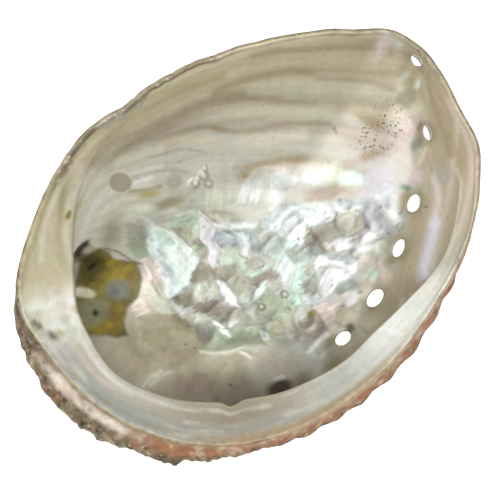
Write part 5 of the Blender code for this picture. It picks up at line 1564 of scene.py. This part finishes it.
def makeShellMaterial():
    material = bpy.data.materials.new("nacreAndCrust")
    material.use_nodes = True
    nodes, links = material.node_tree.nodes, material.node_tree.links
    shader = nodes["Principled BSDF"]

    def node(kind, inputs=(), **settings):
        made = nodes.new("ShaderNode" + kind)
        for name, value in settings.items():
            setattr(made, name, value)
        for name, value in dict(inputs).items():
            if isinstance(value, bpy.types.NodeSocket):
                links.new(value, made.inputs[name])
            else:
                made.inputs[name].default_value = value
        return made

    def attribute(name, output):
        return node("Attribute", attribute_name=name).outputs[output]

    def maths(operation, a, b, c=0.0):
        return node("Math", {0: a, 1: b, 2: c}, operation=operation).outputs[0]

    def noise(vector, scale, detail):
        return node("TexNoise", {"Vector": vector, "Scale": scale, "Detail": detail}).outputs[0]

    def stretched(vector, amounts):
        return node("VectorMath", {0: vector, 1: amounts}, operation="MULTIPLY").outputs[0]

    def times(a, b):
        return maths("MULTIPLY", a, b)

    def above(value, start, end):
        made = node("MapRange", {"Value": value, "From Min": start, "From Max": end}, clamp=True)
        return made.outputs["Result"]

    def mixed(amount, under, over):
        return node("Mix", {0: amount, 6: under, 7: over}, data_type="RGBA").outputs[2]

    place = node("TexCoord").outputs["Object"]
    flowVector, grainVector = attribute("flow", "Vector"), attribute("grain", "Vector")
    kind = node("SeparateColor", {"Color": attribute("kinds", "Color")}).outputs
    crustShare, speckShare, grainShare = kind[0], kind[1], kind[2]
    plain = maths("SUBTRACT", 1.0, crustShare)

    # each noise changes the light about 1, some of them only on the crust, the nacre or the scar
    def lined(name):
        across, along, detail, strength = nacre[name]
        return noise(stretched(flowVector, (across, along, 1.0)), 1.0, detail), strength

    def plainNoise(name, vector=place):
        scale, detail, strength = nacre[name]
        return noise(vector, scale, detail), strength

    flowLines, flowStrength = lined("flowLines")
    crossLines, crossStrength = lined("crossLines")
    grainLines, grainStrength = plainNoise("grainLines", grainVector)
    mottle, mottleStrength = plainNoise("mottle")
    crustLumps, lumpStrength = plainNoise("crustLumps")
    light = 1.0
    for value, amount in (
        (flowLines, times(plain, flowStrength)),
        (crossLines, crossStrength),
        (grainLines, times(grainShare, grainStrength)),
        (mottle, mottleStrength),
        (crustLumps, times(crustShare, lumpStrength)),
    ):
        light = maths("MULTIPLY_ADD", maths("SUBTRACT", value, 0.5), amount, light)

    # dark pits and pale flecks in the crust
    def dots(name, vector=place):
        scale, detail, start, full = nacre[name]
        return above(noise(vector, scale, detail), start, full)

    pits = times(dots("crustPits"), above(crustShare, *nacre["pitCrust"]))
    light = times(light, maths("MULTIPLY_ADD", pits, -nacre["pitStrength"], 1.0))
    flecks = dots("crustFlecks", stretched(place, nacre["fleckStretch"]))
    flecks = times(flecks, times(above(crustShare, *nacre["fleckCrust"]), nacre["fleckStrength"]))

    # a slow change between pink and mint, as light splits in the layers
    hueNoise, strengths = plainNoise("hues")
    hue = times(maths("SUBTRACT", hueNoise, 0.5), plain)
    tinted = {axis: maths("MULTIPLY_ADD", hue, k, light) for axis, k in zip("XYZ", strengths)}
    tinted = node("CombineXYZ", tinted).outputs[0]
    colour = node("VectorMath", {0: attribute("tint", "Color"), 1: tinted}, operation="MULTIPLY").outputs[0]

    # small brown specks near the front end, in clusters
    specked = times(times(dots("specks"), dots("clusters")), speckShare)
    colour = mixed(specked, mixed(flecks, colour, nacre["fleckTone"]), nacre["speckTone"])
    links.new(colour, shader.inputs["Base Color"])

    smooth, dull, varies = nacre["roughness"]
    roughness = maths("MULTIPLY_ADD", mottle, varies, smooth - varies / 2.0)
    roughness = maths("MULTIPLY_ADD", crustShare, dull - smooth, roughness)
    links.new(roughness, shader.inputs["Roughness"])
    links.new(times(plain, nacre["metallic"]), shader.inputs["Metallic"])
    links.new(times(plain, nacre["coat"]), shader.inputs["Coat Weight"])
    shader.inputs["Coat Roughness"].default_value = nacre["coatRoughness"]

    lineHeight, lumpHeight, pitHeight, mottleHeight = nacre["bumpParts"]
    height = maths("MULTIPLY_ADD", flowLines, times(plain, lineHeight), times(grainLines, grainShare))
    height = maths("MULTIPLY_ADD", times(crustLumps, crustShare), lumpHeight, height)
    height = maths("MULTIPLY_ADD", pits, pitHeight, height)
    height = maths("MULTIPLY_ADD", mottle, mottleHeight, height)
    strength, distance = nacre["bump"]
    bump = node("Bump", {"Height": height, "Distance": distance, "Strength": strength})
    links.new(bump.outputs["Normal"], shader.inputs["Normal"])
    return material


shellMesh.materials.append(makeShellMaterial())

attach(shell, "root")
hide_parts("abalone_shell")


# The floor, lights and camera.

studio = {
    "floorSize": 4.0,  # metres
    "floorDrop": 0.0002,
    "floorColour": (0.9, 0.9, 0.9, 1.0),
    "floorRoughness": 0.7,
    "floorGlow": 0.75,
    "worldLight": 0.42,
    "worldShown": 1.0,
    "topLamp": ((-0.08, 0.03, 0.85), 0.8, 5.6),  # place, size and power
    "sideLamp": ((-0.5, -0.1, 0.5), 0.35, 0.8),
}

cameraForm = {
    "distance": 620.0,  # from the rim's plane
    "tilt": 5.0,  # degrees off the upright
    "tiltTowards": 183.0,  # degrees, anticlockwise from the front end
    "turn": 42.0,  # the front end points this much anticlockwise of the picture's right
    "target": (0.0, -1.154),  # in the picture's own right and up
    "lens": 154.7,
}


def addFloor():
    half = studio["floorSize"] / 2.0
    mesh = bpy.data.meshes.new("floor")
    corners = [(x * half, y * half, -studio["floorDrop"]) for x, y in ((-1, -1), (1, -1), (1, 1), (-1, 1))]
    mesh.from_pydata(corners, [], [(0, 1, 2, 3)])
    floor = bpy.data.objects.new("floor", mesh)
    bpy.context.scene.collection.objects.link(floor)
    material = bpy.data.materials.new("floor")
    material.use_nodes = True
    surface = material.node_tree.nodes["Principled BSDF"]
    surface.inputs["Base Color"].default_value = studio["floorColour"]
    surface.inputs["Roughness"].default_value = studio["floorRoughness"]
    surface.inputs["Emission Color"].default_value = (1.0, 1.0, 1.0, 1.0)
    surface.inputs["Emission Strength"].default_value = studio["floorGlow"]
    mesh.materials.append(material)


def addLamp(name, place, size, power):
    lamp = bpy.data.lights.new(name, "AREA")
    lamp.shape = "DISK"
    lamp.size = size
    lamp.energy = power
    obj = bpy.data.objects.new(name, lamp)
    bpy.context.scene.collection.objects.link(obj)
    obj.location = place
    obj.rotation_euler = Vector(place).to_track_quat("Z", "Y").to_euler()


def addCamera():
    tilt, towards, turn = (math.radians(cameraForm[k]) for k in ("tilt", "tiltTowards", "turn"))
    back = Vector((math.sin(tilt) * math.cos(towards), math.sin(tilt) * math.sin(towards), math.cos(tilt)))
    pictureUp = Vector((math.sin(turn), math.cos(turn), 0.0))
    pictureRight = Vector((math.cos(turn), -math.sin(turn), 0.0))
    up = (pictureUp - back * pictureUp.dot(back)).normalized()
    right = up.cross(back)
    targetRight, targetUp = cameraForm["target"]
    target = pictureRight * targetRight + pictureUp * targetUp
    target.z = bowlForm["rimHeight"]
    target = target - Vector((*bowlForm["boxMiddle"], 0.0))
    place = (target + back * cameraForm["distance"]) * mm
    camera = bpy.data.cameras.new("camera")
    camera.lens = cameraForm["lens"]
    camera.clip_start = 0.01
    obj = bpy.data.objects.new("camera", camera)
    bpy.context.scene.collection.objects.link(obj)
    obj.matrix_world = Matrix.Translation(place) @ Matrix((right, up, back)).transposed().to_4x4()
    bpy.context.scene.camera = obj


def setWorld():
    world = bpy.data.worlds.new("studio")
    world.use_nodes = True
    bpy.context.scene.world = world
    nodes, links = world.node_tree.nodes, world.node_tree.links
    path = nodes.new("ShaderNodeLightPath")
    mix = nodes.new("ShaderNodeMapRange")
    mix.inputs["To Min"].default_value = studio["worldLight"]
    mix.inputs["To Max"].default_value = studio["worldShown"]
    links.new(path.outputs["Is Camera Ray"], mix.inputs["Value"])
    links.new(mix.outputs["Result"], nodes["Background"].inputs["Strength"])
    nodes["Background"].inputs["Color"].default_value = (1.0, 1.0, 1.0, 1.0)


addFloor()
addLamp("topLamp", *studio["topLamp"])
addLamp("sideLamp", *studio["sideLamp"])
addCamera()
setWorld()
bpy.context.scene.view_settings.view_transform = "Standard"
print("stage set")
